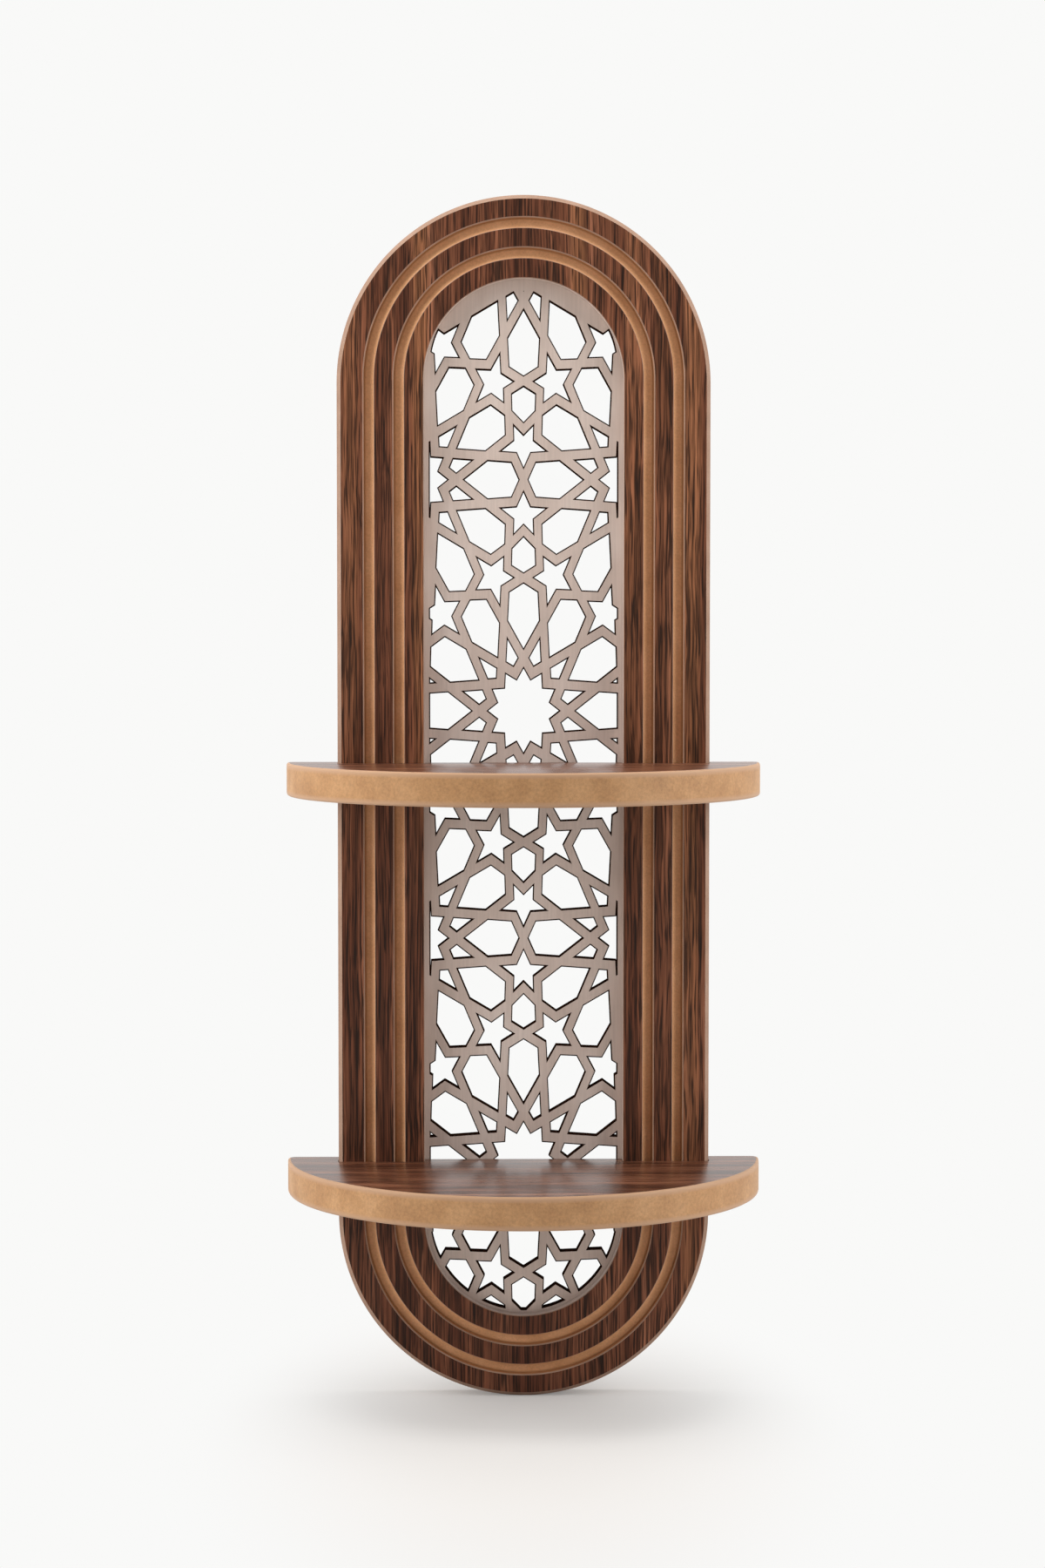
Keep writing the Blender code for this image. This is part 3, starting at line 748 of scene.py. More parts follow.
@dataclass
class FrameBoard:
    """The ring of walnut-faced board: its section swept round two uprights and two half-round ends."""

    palette: Palette
    path: NodeTool
    edge_bevel_width: float = 0.0024
    edge_bevel_depth: float = 0.0035
    outer_face_width: float = 0.01255
    middle_face_width: float = 0.0104
    inner_face_width: float = 0.0112
    groove_width: float = 0.0069
    groove_depth: float = 0.0044
    groove_wall_share: float = 0.12
    groove_steps: int = 10
    groove_swell: float = 0.55
    # Share of a groove's floor, from its outer wall, that gets painted shade.
    painted_shade_share: float = 0.2
    end_face_trim: float = 0.0025
    lattice_recess: float = 0.0085
    rebate_width: float = 0.0082
    arris: float = 0.0007
    opening_arris: float = 0.0004
    end_steps: int = 96
    fit_gap: float = 0.0003
    plate_corner: float = 0.004
    keyhole_entry: float = 0.008
    keyhole_slot: float = 0.0044
    keyhole_length: float = 0.0056
    keyhole_margin: float = 0.0016
    keyhole_depth: float = 0.009
    pocket_overshoot: float = 0.0005
    corner_steps: int = 10
    hole_sides: int = 40
    weld: float = 1e-6

    def __post_init__(self) -> None:
        """Reads the board's outline from the frame and works out the half widths across it."""
        low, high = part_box("frame_board")
        self.half_width = high.x
        self.front = low.y
        self.foot = low.z
        self.top = high.z
        self.middle = (low.z + high.z) / 2
        self.outline_centre = (high.z - low.z) / 2 - self.half_width
        self.band_centre = self.outline_centre + self.end_face_trim
        self.face_edge = self.half_width - self.edge_bevel_width
        self.outer_groove = self.face_edge - self.outer_face_width
        self.inner_groove = self.outer_groove - self.groove_width - self.middle_face_width
        self.opening = self.inner_groove - self.groove_width - self.inner_face_width
        self.rebate = self.opening + self.rebate_width
        self.shoulder = self.front + self.lattice_recess

    def groove(self, outer: float) -> list[tuple[float, float, BoardFace, float]]:
        """Lays out one groove from its outer to its inner arris.

        A steep wall drops from the outer arris to the full depth, and from there the floor swells up to the
        inner arris. The wall and the floor beside it are painted darker, as painted shade where the steep
        wall shades the groove.

        Args:
            outer: Half width of the outer arris.

        Returns:
            Half width and depth of each strip's first point, the strip's face, and the painted shade at the
            point.
        """
        inner = outer - self.groove_width
        wall = self.groove_wall_share * self.groove_width
        floor = self.groove_width - wall
        points = [(outer, self.front, BoardFace.ARRIS, 0.0)]
        points += [(outer - self.arris, self.front + self.arris, BoardFace.CORE, 1.0)]
        for step in range(self.groove_steps):
            share = step / self.groove_steps
            depth = self.groove_depth * (1 - share**2) ** self.groove_swell
            # Painted shade: full at the steep wall, fading out across the floor beside it.
            painted_shade = max(0.0, 1 - share / self.painted_shade_share)
            points.append((outer - wall - floor * share, self.front + depth, BoardFace.CORE, painted_shade))
        points += [(inner + self.arris / 2, self.front + self.arris, BoardFace.ARRIS, 0.0)]
        points += [(inner, self.front, BoardFace.DECOR, 0.0)]
        return points

    def section(self) -> list[tuple[float, float, float, BoardFace, float]]:
        """Lays out the board's section.

        Returns:
            Half width, depth and height of the end's centre of each strip's first point, the strip's face,
            and the painted shade at the point, from the back edge round the front to the back face.
        """
        outer = [
            (self.half_width - self.arris, 0.0, BoardFace.ARRIS, 0.0),
            (self.half_width, -self.arris, BoardFace.SIDE, 0.0),
            (self.half_width, self.front + self.edge_bevel_depth, BoardFace.ARRIS, 0.0),
            (self.face_edge, self.front, BoardFace.DECOR, 0.0),
        ]
        inner = self.groove(self.outer_groove) + self.groove(self.inner_groove)
        inner += [
            (self.opening + self.opening_arris, self.front, BoardFace.ARRIS, 0.0),
            (self.opening, self.front + self.opening_arris, BoardFace.WALL, 0.0),
            (self.opening, self.shoulder, BoardFace.CORE, 0.0),
            (self.rebate, self.shoulder, BoardFace.CORE, 0.0),
            (self.rebate, -self.arris, BoardFace.ARRIS, 0.0),
            (self.rebate + self.arris, 0.0, BoardFace.DECOR, 0.0),
        ]
        points = [(half, depth, self.outline_centre, face, painted_shade) for half, depth, face, painted_shade in outer]
        return points + [(half, depth, self.band_centre, face, painted_shade) for half, depth, face, painted_shade in inner]

    def sweep(self) -> NodeTool:
        """Makes the tree that sweeps the section, whose points hold half width, depth and centre height.

        Returns:
            The tree, which dresses each strip by the section's face number.
        """
        finishes = {kind.name.title(): "Material" for kind in BoardFace}
        sockets = {"Geometry": "Geometry", "End Steps": "Int", "Middle": "Float", **finishes}
        tool = NodeTool("swept_frame", sockets)
        given = tool.given
        section, steps = given["Geometry"], given["End Steps"]
        size = tool.add("GeometryNodeAttributeDomainSize", {"Geometry": section}, component="MESH")
        count = size.outputs["Point Count"]
        loop = tool.add(WHOLE_MATH, [steps, 2, 2], operation="MULTIPLY_ADD")
        row = tool.add(WHOLE_MATH, [count, 1], operation="ADD")
        around = tool.add(WHOLE_MATH, [loop, 1], operation="ADD")
        grid = tool.add("GeometryNodeMeshGrid", {"Vertices X": around, "Vertices Y": row})
        index = tool.add("GeometryNodeInputIndex")
        across = tool.add(WHOLE_MATH, [index, row], operation="MODULO")
        point = tool.add(WHOLE_MATH, [across, count], operation="MODULO")
        column = tool.add(WHOLE_MATH, [index, row], operation="DIVIDE_FLOOR")
        along = tool.add(WHOLE_MATH, [column, loop], operation="MODULO")
        place = tool.add(
            "GeometryNodeSampleIndex",
            {"Geometry": section, "Value": tool.add("GeometryNodeInputPosition"), "Index": point},
            data_type="FLOAT_VECTOR",
        )
        sample = tool.add(SPLIT_XYZ, [place]).outputs
        path = tool.add(GROUP, {"Index": along, "End Steps": steps}, node_tree=self.path.tree).outputs
        x = tool.add(MATH, [sample["X"], path["Cosine"]], operation="MULTIPLY")
        bow = tool.add(MATH, [sample["X"], path["Sine"]], operation="MULTIPLY")
        end = tool.add(MATH, [sample["Z"], path["End Sign"], given["Middle"]], operation="MULTIPLY_ADD")
        z = tool.add(MATH, [bow, end], operation="ADD")
        swept = tool.add(JOIN_XYZ, {"X": x, "Y": sample["Y"], "Z": z})
        # Carries each point's painted shade from the section onto the swept ring.
        painted_shade = tool.add("GeometryNodeInputNamedAttribute", {"Name": SHADE_AND_PALE_EDGE}, data_type="FLOAT")
        sampled = {"Geometry": section, "Value": painted_shade, "Index": point}
        point_painted_shade = tool.add("GeometryNodeSampleIndex", sampled, data_type="FLOAT")
        burnt = tool.add(
            "GeometryNodeStoreNamedAttribute",
            {"Geometry": grid, "Name": SHADE_AND_PALE_EDGE, "Value": point_painted_shade},
            data_type="FLOAT",
            domain="POINT",
        )
        ring = tool.add(SET_POSITION, {"Geometry": burnt, "Position": swept})
        strip = tool.add(WHOLE_MATH, [index, count], operation="MODULO")
        number = tool.add("GeometryNodeInputNamedAttribute", {"Name": FACE}, data_type="INT")
        face = tool.add(
            "GeometryNodeSampleIndex",
            {"Geometry": section, "Value": number, "Index": strip},
            data_type="INT",
        )
        named = tool.add(
            "GeometryNodeStoreNamedAttribute",
            {"Geometry": ring, "Name": FACE, "Value": face},
            data_type="INT",
            domain="FACE",
        )
        closed = tool.add("GeometryNodeMergeByDistance", {"Geometry": named, "Distance": self.weld})
        dressed = tool.add("GeometryNodeRealizeInstances", {"Geometry": closed})
        for kind in BoardFace:
            chosen = tool.add(COMPARE, {"A": number, "B": kind.value}, data_type="INT", operation="EQUAL")
            dressed = tool.add(
                SET_MATERIAL,
                {"Geometry": dressed, "Selection": chosen, "Material": given[kind.name.title()]},
            )
        tool.close(Geometry=dressed)
        return tool

    def keyhole(self, x: float, z: float) -> Outline:
        """Lays out the pocket behind a keyhole, with a round entry below and a slot above.

        Args:
            x: Middle of the hanger plate.
            z: Middle of the hanger plate.

        Returns:
            Points of X and Z.
        """
        entry = self.keyhole_entry / 2 + self.keyhole_margin
        slot = self.keyhole_slot / 2 + self.keyhole_margin
        open_angle = math.degrees(math.asin(slot / entry))
        low = z + (self.keyhole_entry / 2 - self.keyhole_slot / 2 - self.keyhole_length) / 2
        points = arc(entry, 90 + open_angle, 90 + 360 - open_angle, self.hole_sides, (x, low))
        return points + arc(slot, 0, 180, self.hole_sides // 2, (x, low + self.keyhole_length))

    def recess(self, low: Vector, high: Vector) -> Outline:
        """Lays out the recess of a hanger plate, a fit gap larger than the plate.

        Args:
            low: Lowest corner of the plate's box.
            high: Highest corner of the plate's box.

        Returns:
            Points of X and Z.
        """
        inset = self.plate_corner
        corners = ((high.x - inset, high.z - inset), (low.x + inset, high.z - inset))
        corners += ((low.x + inset, low.z + inset), (high.x - inset, low.z + inset))
        points = []
        for quarter, centre in enumerate(corners):
            first = 90 * quarter
            points += arc(self.plate_corner + self.fit_gap, first, first + 90, self.corner_steps, centre)
        return points

    def pockets(self) -> list[Object]:
        """Makes the shapes that are routed and drilled into the back of the board.

        Returns:
            The hangers' recesses, the pockets behind their keyholes, and the shelf screws' countersinks.
        """
        past = self.pocket_overshoot
        recesses = bmesh.new()
        keyholes = bmesh.new()
        drilled = bmesh.new()
        for side in SIDES:
            low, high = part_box(f"hanger_plate_{side}")
            x, z = (low.x + high.x) / 2, (low.z + high.z) / 2
            plate = self.recess(low, high)
            add_loft(recesses, [(low.y - self.fit_gap, plate), (past, plate)])
            pocket = self.keyhole(x, z)
            add_loft(keyholes, [(-self.keyhole_depth, pocket), (past, pocket)])
            for shelf in SHELVES:
                low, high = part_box(f"{shelf}_shelf_screw_{side}")
                head = (high.x - low.x) / 2 + self.fit_gap
                neck = head / 2
                cone = [(head, past), (head, high.y), (neck, high.y - neck), (neck, self.front / 2)]
                add_turned(drilled, cone, self.hole_sides, (low.x + high.x) / 2, (low.z + high.z) / 2)
        shapes = (("hanger_recesses", recesses), ("keyhole_pockets", keyholes), ("countersinks", drilled))
        return [new_object(name, bm, self.palette.core) for name, bm in shapes]

    def build(self) -> None:
        """Sweeps, cuts and dresses the frame."""
        bm = bmesh.new()
        points = self.section()
        corners = [bm.verts.new((half, depth, centre)) for half, depth, centre, *_ in points]
        for corner, after in zip(corners, corners[1:]):
            bm.edges.new((corner, after))
        piece = new_object("walnut_frame", bm)
        numbers = piece.data.attributes.new(FACE, "INT", "POINT")
        numbers.data.foreach_set("value", [face.value for *_, face, _ in points])
        # Each point's painted shade, beside the grooves' steep outer walls.
        painted_shades = piece.data.attributes.new(SHADE_AND_PALE_EDGE, "FLOAT", "POINT")
        painted_shades.data.foreach_set("value", [painted_shade for *_, painted_shade in points])
        self.sweep().put_on(
            piece,
            end_steps=self.end_steps,
            middle=self.middle,
            decor=self.palette.frame_decor,
            core=self.palette.core,
            arris=self.palette.arris,
            wall=self.palette.paint,
            side=self.palette.rim,
        )
        for tool in self.pockets():
            cut(piece, tool, "MANIFOLD")
        shade(piece)
        register(piece, "walnut_frame", "frame_board")


@dataclass(frozen=True)
class StarRosette:
    """Straps of a twelve-petalled rosette and of the gaps beside it, for a spacing of 1.

    A point is a complex number, with X as its real part and Z as its imaginary part.
    """

    petals: int = 12
    neighbours: int = 6
    halfway: float = 0.5
    star_tip: float = 0.199
    strap_crossing: float = 0.346
    petal_tip_angle: float = 62.0
    shield_point: float = 0.016
    hub_margin: float = 0.0029
    kite_margin: float = 0.0029
    petal_margin: float = 0.0026
    star_margin: float = 0.0029
    shield_margin: float = 0.0023
    shields: int = 2
    shield_arms: int = 3

    @staticmethod
    def spoke(degrees: float, length: float = 1.0) -> complex:
        """A point at an angle and a distance from the rosette's centre."""
        return cmath.rect(length, math.radians(degrees))

    @staticmethod
    def crossing(start: complex, through: complex, other: complex, beyond: complex) -> complex:
        """Finds the point where two lines meet.

        Args:
            start: A point on the first line.
            through: Another point on it.
            other: A point on the second line.
            beyond: Another point on it.

        Returns:
            The point on both lines.
        """
        along = through - start
        across = beyond - other
        share = ((other - start).conjugate() * across).imag / (along.conjugate() * across).imag
        return start + share * along

    def mirrored(self, point: complex) -> complex:
        """A point mirrored onto the rosette on the right."""
        return 2 * self.halfway - point.conjugate()

    def loops(self) -> list[tuple[list[complex], float]]:
        """Draws the centre lines of the straps round every hole.

        Returns:
            Closed loops of the star, its kites and petals, the five-point stars and the shields, each with
            the margin between the loop and its hole.
        """
        step = 360 / self.petals
        next_step = self.spoke(step)
        tip = complex(self.star_tip)
        weave = self.spoke(step / 2, self.strap_crossing)
        notch = self.crossing(weave, tip, 0, self.spoke(-step / 2)) * next_step
        petal_tip = complex(self.halfway)
        petal_side = petal_tip + self.spoke(180 - self.petal_tip_angle)
        shoulder = self.crossing(tip * next_step, weave, petal_tip, petal_side)
        low_shoulder = shoulder.conjugate()
        inner_tip = petal_tip * next_step
        gap_corner = self.crossing(shoulder * next_step, inner_tip, petal_tip, petal_tip + 1j)
        drawn_corner = gap_corner - 1j * self.shield_point

        star = [point * self.spoke(step * k) for k in range(self.petals) for point in (tip, notch)]
        kite = [notch, tip, weave, tip * next_step]
        petal = [tip, weave / next_step, low_shoulder, petal_tip, shoulder, weave]
        half_star = [inner_tip, low_shoulder * next_step, weave, shoulder]
        gap = [*half_star, petal_tip, *[self.mirrored(point) for point in reversed(half_star)]]
        loops = [(star, self.hub_margin)]
        for loop, margin in ((kite, self.kite_margin), (petal, self.petal_margin)):
            for k in range(self.petals):
                loops.append(([point * self.spoke(step * k) for point in loop], margin))
        sixth = 360 / self.neighbours
        for k in range(self.neighbours):
            stands_upright = k % (self.neighbours // 2) == 0
            five_star = [drawn_corner if stands_upright else gap_corner, *gap]
            loops.append(([point * self.spoke(sixth * k) for point in five_star], self.star_margin))
        middle = complex(self.halfway, self.halfway / math.sqrt(3))
        for k in range(self.shields):
            shield = []
            for arm in range(self.shield_arms):
                corner = drawn_corner if arm == k else gap_corner
                turned = self.spoke(360 / self.shield_arms * arm)
                shield += [middle + (point - middle) * turned for point in (inner_tip, corner)]
            loops.append(([point * self.spoke(sixth * k) for point in shield], self.shield_margin))
        return loops

    def holes(self, spacing: float, widening: float = 0.0) -> list[list[complex]]:
        """Draws the holes between the straps.

        Args:
            spacing: Distance between two rosettes.
            widening: How far every side of a hole is moved outwards.

        Returns:
            The loops at their real size, each moved inwards by its margin.
        """
        result = []
        for loop, margin in self.loops():
            points = [point * spacing for point in loop]
            area = sum((a.conjugate() * b).imag for a, b in zip(points, points[1:] + points[:1]))
            if area < 0:
                points.reverse()
            hole = []
            for before, point, after in zip(points[-1:] + points[:-1], points, points[1:] + points[:1]):
                normal = 1j * (point - before) / abs(point - before)
                other = 1j * (after - point) / abs(after - point)
                facing = (normal * other.conjugate()).real
                hole.append(point + (normal + other) * (margin - widening) / (1 + facing))
            result.append(hole)
        return result


@dataclass
class LatticePanel:
    """The painted panel behind the frame's opening, pierced by a laser with the star pattern."""

    palette: Palette
    frame: FrameBoard
    path: NodeTool
    spacing: float = 0.130
    row_spacing: float = 0.133
    upper_row_spacing: float = 0.1344
    rosette_height: float = 0.4021
    foot_rosette_height: float = 0.1484
    side_border: float = 0.0034
    top_border: float = 0.0073
    bottom_border: float = 0.0020
    crown_roundness: float = 0.77
    band_overlap: float = 0.0015
    least_reach: float = 0.002
    overshoot: float = 0.0005
    end_steps: int = 72
    burnt_edge: float = 0.00065
    least_edge: float = 0.00002
    wall_facing: float = 0.9
    slab_width: float = 1.0
    pattern_sizes: tuple[str, ...] = ("Spacing", "Row Spacing", "Upper Row Spacing", "Least Reach")

    def rounded_prism(self) -> NodeTool:
        """Makes the tree of a solid with two straight sides and round ends, which may be oval.

        Returns:
            The tree, with the sizes of the solid as its inputs. Its front edge flares out by the flare,
            from a ring that lies behind the front by the ease. A roundness of 1 gives an oval upper end,
            and less gives it fuller shoulders.
        """
        sizes = ("Half Width", "Rise", "Drop", "Centre", "Middle")
        sizes += ("Front", "Back", "Ease", "Flare", "Roundness")
        tool = NodeTool("rounded_prism", {"End Steps": "Int", **dict.fromkeys(sizes, "Float")})
        given = tool.given
        steps = given["End Steps"]
        count = tool.add(WHOLE_MATH, [steps, 2, 2], operation="MULTIPLY_ADD")
        back_ring = 2
        rings = {"Vertices": count, "Side Segments": back_ring}
        solid = tool.add("GeometryNodeMeshCylinder", rings, fill_type="NGON")
        index = tool.add("GeometryNodeInputIndex")
        along = tool.add(WHOLE_MATH, [index, count], operation="MODULO")
        ring = tool.add(WHOLE_MATH, [index, count], operation="DIVIDE_FLOOR")
        is_front = tool.add(COMPARE, {"A": ring, "B": 0}, data_type="INT", operation="EQUAL")
        is_back = tool.add(COMPARE, {"A": ring, "B": back_ring}, data_type="INT", operation="EQUAL")
        flare = tool.add(MATH, [given["Flare"], is_front], operation="MULTIPLY")
        half = tool.add(MATH, [given["Half Width"], flare], operation="ADD")
        path = tool.add(GROUP, {"Index": along, "End Steps": steps}, node_tree=self.path.tree).outputs
        roundness = tool.add(
            SWITCH,
            {"Switch": path["Is Lower"], "False": given["Roundness"], "True": 1.0},
            input_type="FLOAT",
        )
        turns = []
        for share in (path["Cosine"], path["Sine"]):
            amount = tool.add(MATH, [share], operation="ABSOLUTE")
            fuller = tool.add(MATH, [amount, roundness], operation="POWER")
            side = tool.add(MATH, [share], operation="SIGN")
            turns.append(tool.add(MATH, [fuller, side], operation="MULTIPLY"))
        x = tool.add(MATH, [half, turns[0]], operation="MULTIPLY")
        plain_height = tool.add(
            SWITCH,
            {"Switch": path["Is Lower"], "False": given["Rise"], "True": given["Drop"]},
            input_type="FLOAT",
        )
        height = tool.add(MATH, [plain_height, flare], operation="ADD")
        end = tool.add(
            MATH, [given["Centre"], path["End Sign"], given["Middle"]], operation="MULTIPLY_ADD"
        )
        z = tool.add(MATH, [height, turns[1], end], operation="MULTIPLY_ADD")
        before_back = tool.add(MATH, [ring, given["Ease"], given["Front"]], operation="MULTIPLY_ADD")
        y = tool.add(
            SWITCH, {"Switch": is_back, "False": before_back, "True": given["Back"]}, input_type="FLOAT"
        )
        place = tool.add(JOIN_XYZ, {"X": x, "Y": y, "Z": z})
        tool.close(Geometry=tool.add(SET_POSITION, {"Geometry": solid, "Position": place}))
        return tool

    def pattern_field(self) -> NodeTool:
        """Makes the tree that repeats the rosette's holes over a field and trims them to it.

        Holes that reach less than the least reach into the field are left out.

        Returns:
            The tree, with the field's border and its lowest and highest level among its inputs.
        """
        sizes = (*self.pattern_sizes, "Height", "Low", "High")
        sizes += ("Half Width", "Rise", "Drop", "Centre", "Middle")
        sockets = {"Geometry": "Geometry", "Border": "Geometry", "Rows": "Int", "Columns": "Int"}
        tool = NodeTool("pattern_field", {**sockets, **dict.fromkeys(sizes, "Float")})
        given = tool.given
        counts = []
        for half in (given["Columns"], given["Rows"]):
            counts.append(tool.add(WHOLE_MATH, [half, 2, 1], operation="MULTIPLY_ADD"))
        grid = tool.add("GeometryNodeMeshGrid", {"Vertices X": counts[0], "Vertices Y": counts[1]})
        index = tool.add("GeometryNodeInputIndex")
        from_left = tool.add(WHOLE_MATH, [index, counts[1]], operation="DIVIDE_FLOOR")
        from_foot = tool.add(WHOLE_MATH, [index, counts[1]], operation="MODULO")
        column = tool.add(WHOLE_MATH, [from_left, given["Columns"]], operation="SUBTRACT")
        row = tool.add(WHOLE_MATH, [from_foot, given["Rows"]], operation="SUBTRACT")
        odd = tool.add(WHOLE_MATH, [row, 2], operation="FLOORED_MODULO")
        shifted = tool.add(MATH, [odd, 0.5, column], operation="MULTIPLY_ADD")
        x = tool.add(MATH, [shifted, given["Spacing"]], operation="MULTIPLY")
        row_share = math.sqrt(3) / 2
        plain_spacing = tool.add(MATH, [given["Spacing"], row_share], operation="MULTIPLY")
        z = tool.add(MATH, [row, plain_spacing], operation="MULTIPLY")
        centre = tool.add(JOIN_XYZ, {"X": x, "Z": z})
        points = tool.add(SET_POSITION, {"Geometry": grid, "Position": centre})
        repeated = tool.add(
            "GeometryNodeInstanceOnPoints", {"Points": points, "Instance": given["Geometry"]}
        )
        plain = tool.add("GeometryNodeRealizeInstances", {"Geometry": repeated})

        place = tool.add(SPLIT_XYZ, [tool.add("GeometryNodeInputPosition")]).outputs
        rows_up = tool.add(MATH, [place["Z"], plain_spacing], operation="DIVIDE")
        is_above = tool.add(COMPARE, {"A": rows_up, "B": 0.0}, operation="GREATER_THAN")
        row_height = tool.add(
            SWITCH,
            {"Switch": is_above, "False": given["Row Spacing"], "True": given["Upper Row Spacing"]},
            input_type="FLOAT",
        )
        drawn = tool.add(MATH, [rows_up, row_height, given["Height"]], operation="MULTIPLY_ADD")
        stretched = tool.add(JOIN_XYZ, {"X": place["X"], "Y": place["Y"], "Z": drawn})
        holes = tool.add(SET_POSITION, {"Geometry": plain, "Position": stretched})

        rise = tool.add(MATH, [place["Z"], given["Middle"]], operation="SUBTRACT")
        height = tool.add(MATH, [rise], operation="ABSOLUTE")
        past_end = tool.add(MATH, [height, given["Centre"]], operation="SUBTRACT")
        into_end = tool.add(MATH, [past_end, 0.0], operation="MAXIMUM")
        is_upper = tool.add(COMPARE, {"A": rise, "B": 0.0}, operation="GREATER_THAN")
        end = tool.add(
            SWITCH,
            {"Switch": is_upper, "False": given["Drop"], "True": given["Rise"]},
            input_type="FLOAT",
        )
        round_share = tool.add(MATH, [given["Half Width"], end], operation="DIVIDE")
        bow = tool.add(MATH, [into_end, round_share], operation="MULTIPLY")
        offset = tool.add(JOIN_XYZ, {"X": place["X"], "Y": bow})
        length = tool.add("ShaderNodeVectorMath", [offset], operation="LENGTH").outputs["Value"]
        reach = tool.add(MATH, [given["Half Width"], length], operation="SUBTRACT")
        above = tool.add(MATH, [place["Z"], given["Low"]], operation="SUBTRACT")
        below = tool.add(MATH, [given["High"], place["Z"]], operation="SUBTRACT")
        level = tool.add(MATH, [above, below], operation="MINIMUM")
        least = tool.add(MATH, [reach, level], operation="MINIMUM")
        opens = tool.add(COMPARE, {"A": least, "B": given["Least Reach"]}, operation="GREATER_THAN")
        island = tool.add("GeometryNodeInputMeshIsland").outputs["Island Index"]
        total = tool.add(
            "GeometryNodeAccumulateField", {"Value": opens, "Group ID": island}, data_type="INT"
        ).outputs["Total"]
        unused = tool.add(COMPARE, {"A": total, "B": 0}, data_type="INT", operation="EQUAL")
        kept = tool.add("GeometryNodeDeleteGeometry", {"Geometry": holes, "Selection": unused})

        tall = tool.add(MATH, [given["High"], given["Low"]], operation="SUBTRACT")
        between = tool.add(MATH, [given["High"], given["Low"]], operation="ADD")
        half_way = tool.add(MATH, [between, 0.5], operation="MULTIPLY")
        size = tool.add(JOIN_XYZ, {"X": self.slab_width, "Y": self.slab_width, "Z": tall})
        slab = tool.add("GeometryNodeMeshCube", {"Size": size})
        lift = tool.add(JOIN_XYZ, {"Z": half_way})
        raised = tool.add("GeometryNodeTransform", {"Geometry": slab, "Translation": lift})
        trimmed = tool.add(
            "GeometryNodeMeshBoolean",
            {"Mesh 2": [kept, given["Border"], raised]},
            operation="INTERSECT",
            solver="MANIFOLD",
        )
        tool.close(Geometry=trimmed)
        return tool

    def pierced(self) -> NodeTool:
        """Makes the tree of the whole panel, whose geometry input is one rosette of hole prisms.

        Returns:
            The tree, which dresses the faces and the cut walls.
        """
        low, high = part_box("lattice_panel")
        shelf_low, shelf_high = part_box("lower_shelf")
        fields = (
            (self.rosette_height, shelf_high.z - self.band_overlap, self.frame.top),
            (self.foot_rosette_height, self.frame.foot, shelf_low.z + self.band_overlap),
        )
        sockets = {"Geometry": "Geometry", "End Steps": "Int", "Paint": "Material", "Char": "Material"}
        tool = NodeTool("star_lattice", {**sockets, **dict.fromkeys(self.pattern_sizes, "Float")})
        given = tool.given
        prism = self.rounded_prism().tree
        field_tree = self.pattern_field().tree
        half = self.frame.rebate - self.frame.fit_gap
        ends = {"Centre": self.frame.band_centre, "Middle": self.frame.middle}
        field_ends = {
            "Half Width": self.frame.opening - self.side_border,
            "Rise": self.frame.opening - self.top_border,
            "Drop": self.frame.opening - self.bottom_border,
            **ends,
        }
        panel = tool.add(
            GROUP,
            {
                "End Steps": given["End Steps"],
                **dict.fromkeys(("Half Width", "Rise", "Drop"), half),
                "Front": low.y,
                "Back": high.y,
                "Ease": (high.y - low.y) / 2,
                "Roundness": 1.0,
                **ends,
            },
            node_tree=prism,
        )
        border = tool.add(
            GROUP,
            {
                "End Steps": given["End Steps"],
                "Front": low.y - self.overshoot,
                "Back": high.y + 2 * self.overshoot,
                **dict.fromkeys(("Ease", "Flare"), self.overshoot + self.burnt_edge),
                "Roundness": self.crown_roundness,
                **field_ends,
            },
            node_tree=prism,
        )
        repeats = {
            "Rows": math.ceil((self.frame.top - self.frame.foot) / self.row_spacing),
            "Columns": math.ceil(2 * self.frame.half_width / self.spacing),
            **{name: given[name] for name in ("Geometry", *self.pattern_sizes)},
        }
        holes = []
        for rosette, bottom, top in fields:
            levels = {"Height": self.frame.foot + rosette, "Low": bottom, "High": top}
            inputs = {"Border": border, **repeats, **levels, **field_ends}
            holes.append(tool.add(GROUP, inputs, node_tree=field_tree))
        cut_out = tool.add(
            "GeometryNodeMeshBoolean",
            {"Mesh 1": panel, "Mesh 2": holes},
            operation="DIFFERENCE",
            solver="MANIFOLD",
        )
        clean = tool.add("GeometryNodeMergeByDistance", {"Geometry": cut_out, "Distance": self.least_edge})
        normal = tool.add(SPLIT_XYZ, [tool.add("GeometryNodeInputNormal")]).outputs["Y"]
        facing = tool.add(MATH, [normal], operation="ABSOLUTE")
        is_wall = tool.add(COMPARE, {"A": facing, "B": self.wall_facing}, operation="LESS_THAN")
        real = tool.add("GeometryNodeRealizeInstances", {"Geometry": clean})
        painted = tool.add(SET_MATERIAL, {"Geometry": real, "Material": given["Paint"]})
        dressed = tool.add(
            SET_MATERIAL, {"Geometry": painted, "Selection": is_wall, "Material": given["Char"]}
        )
        tool.close(Geometry=dressed)
        return tool

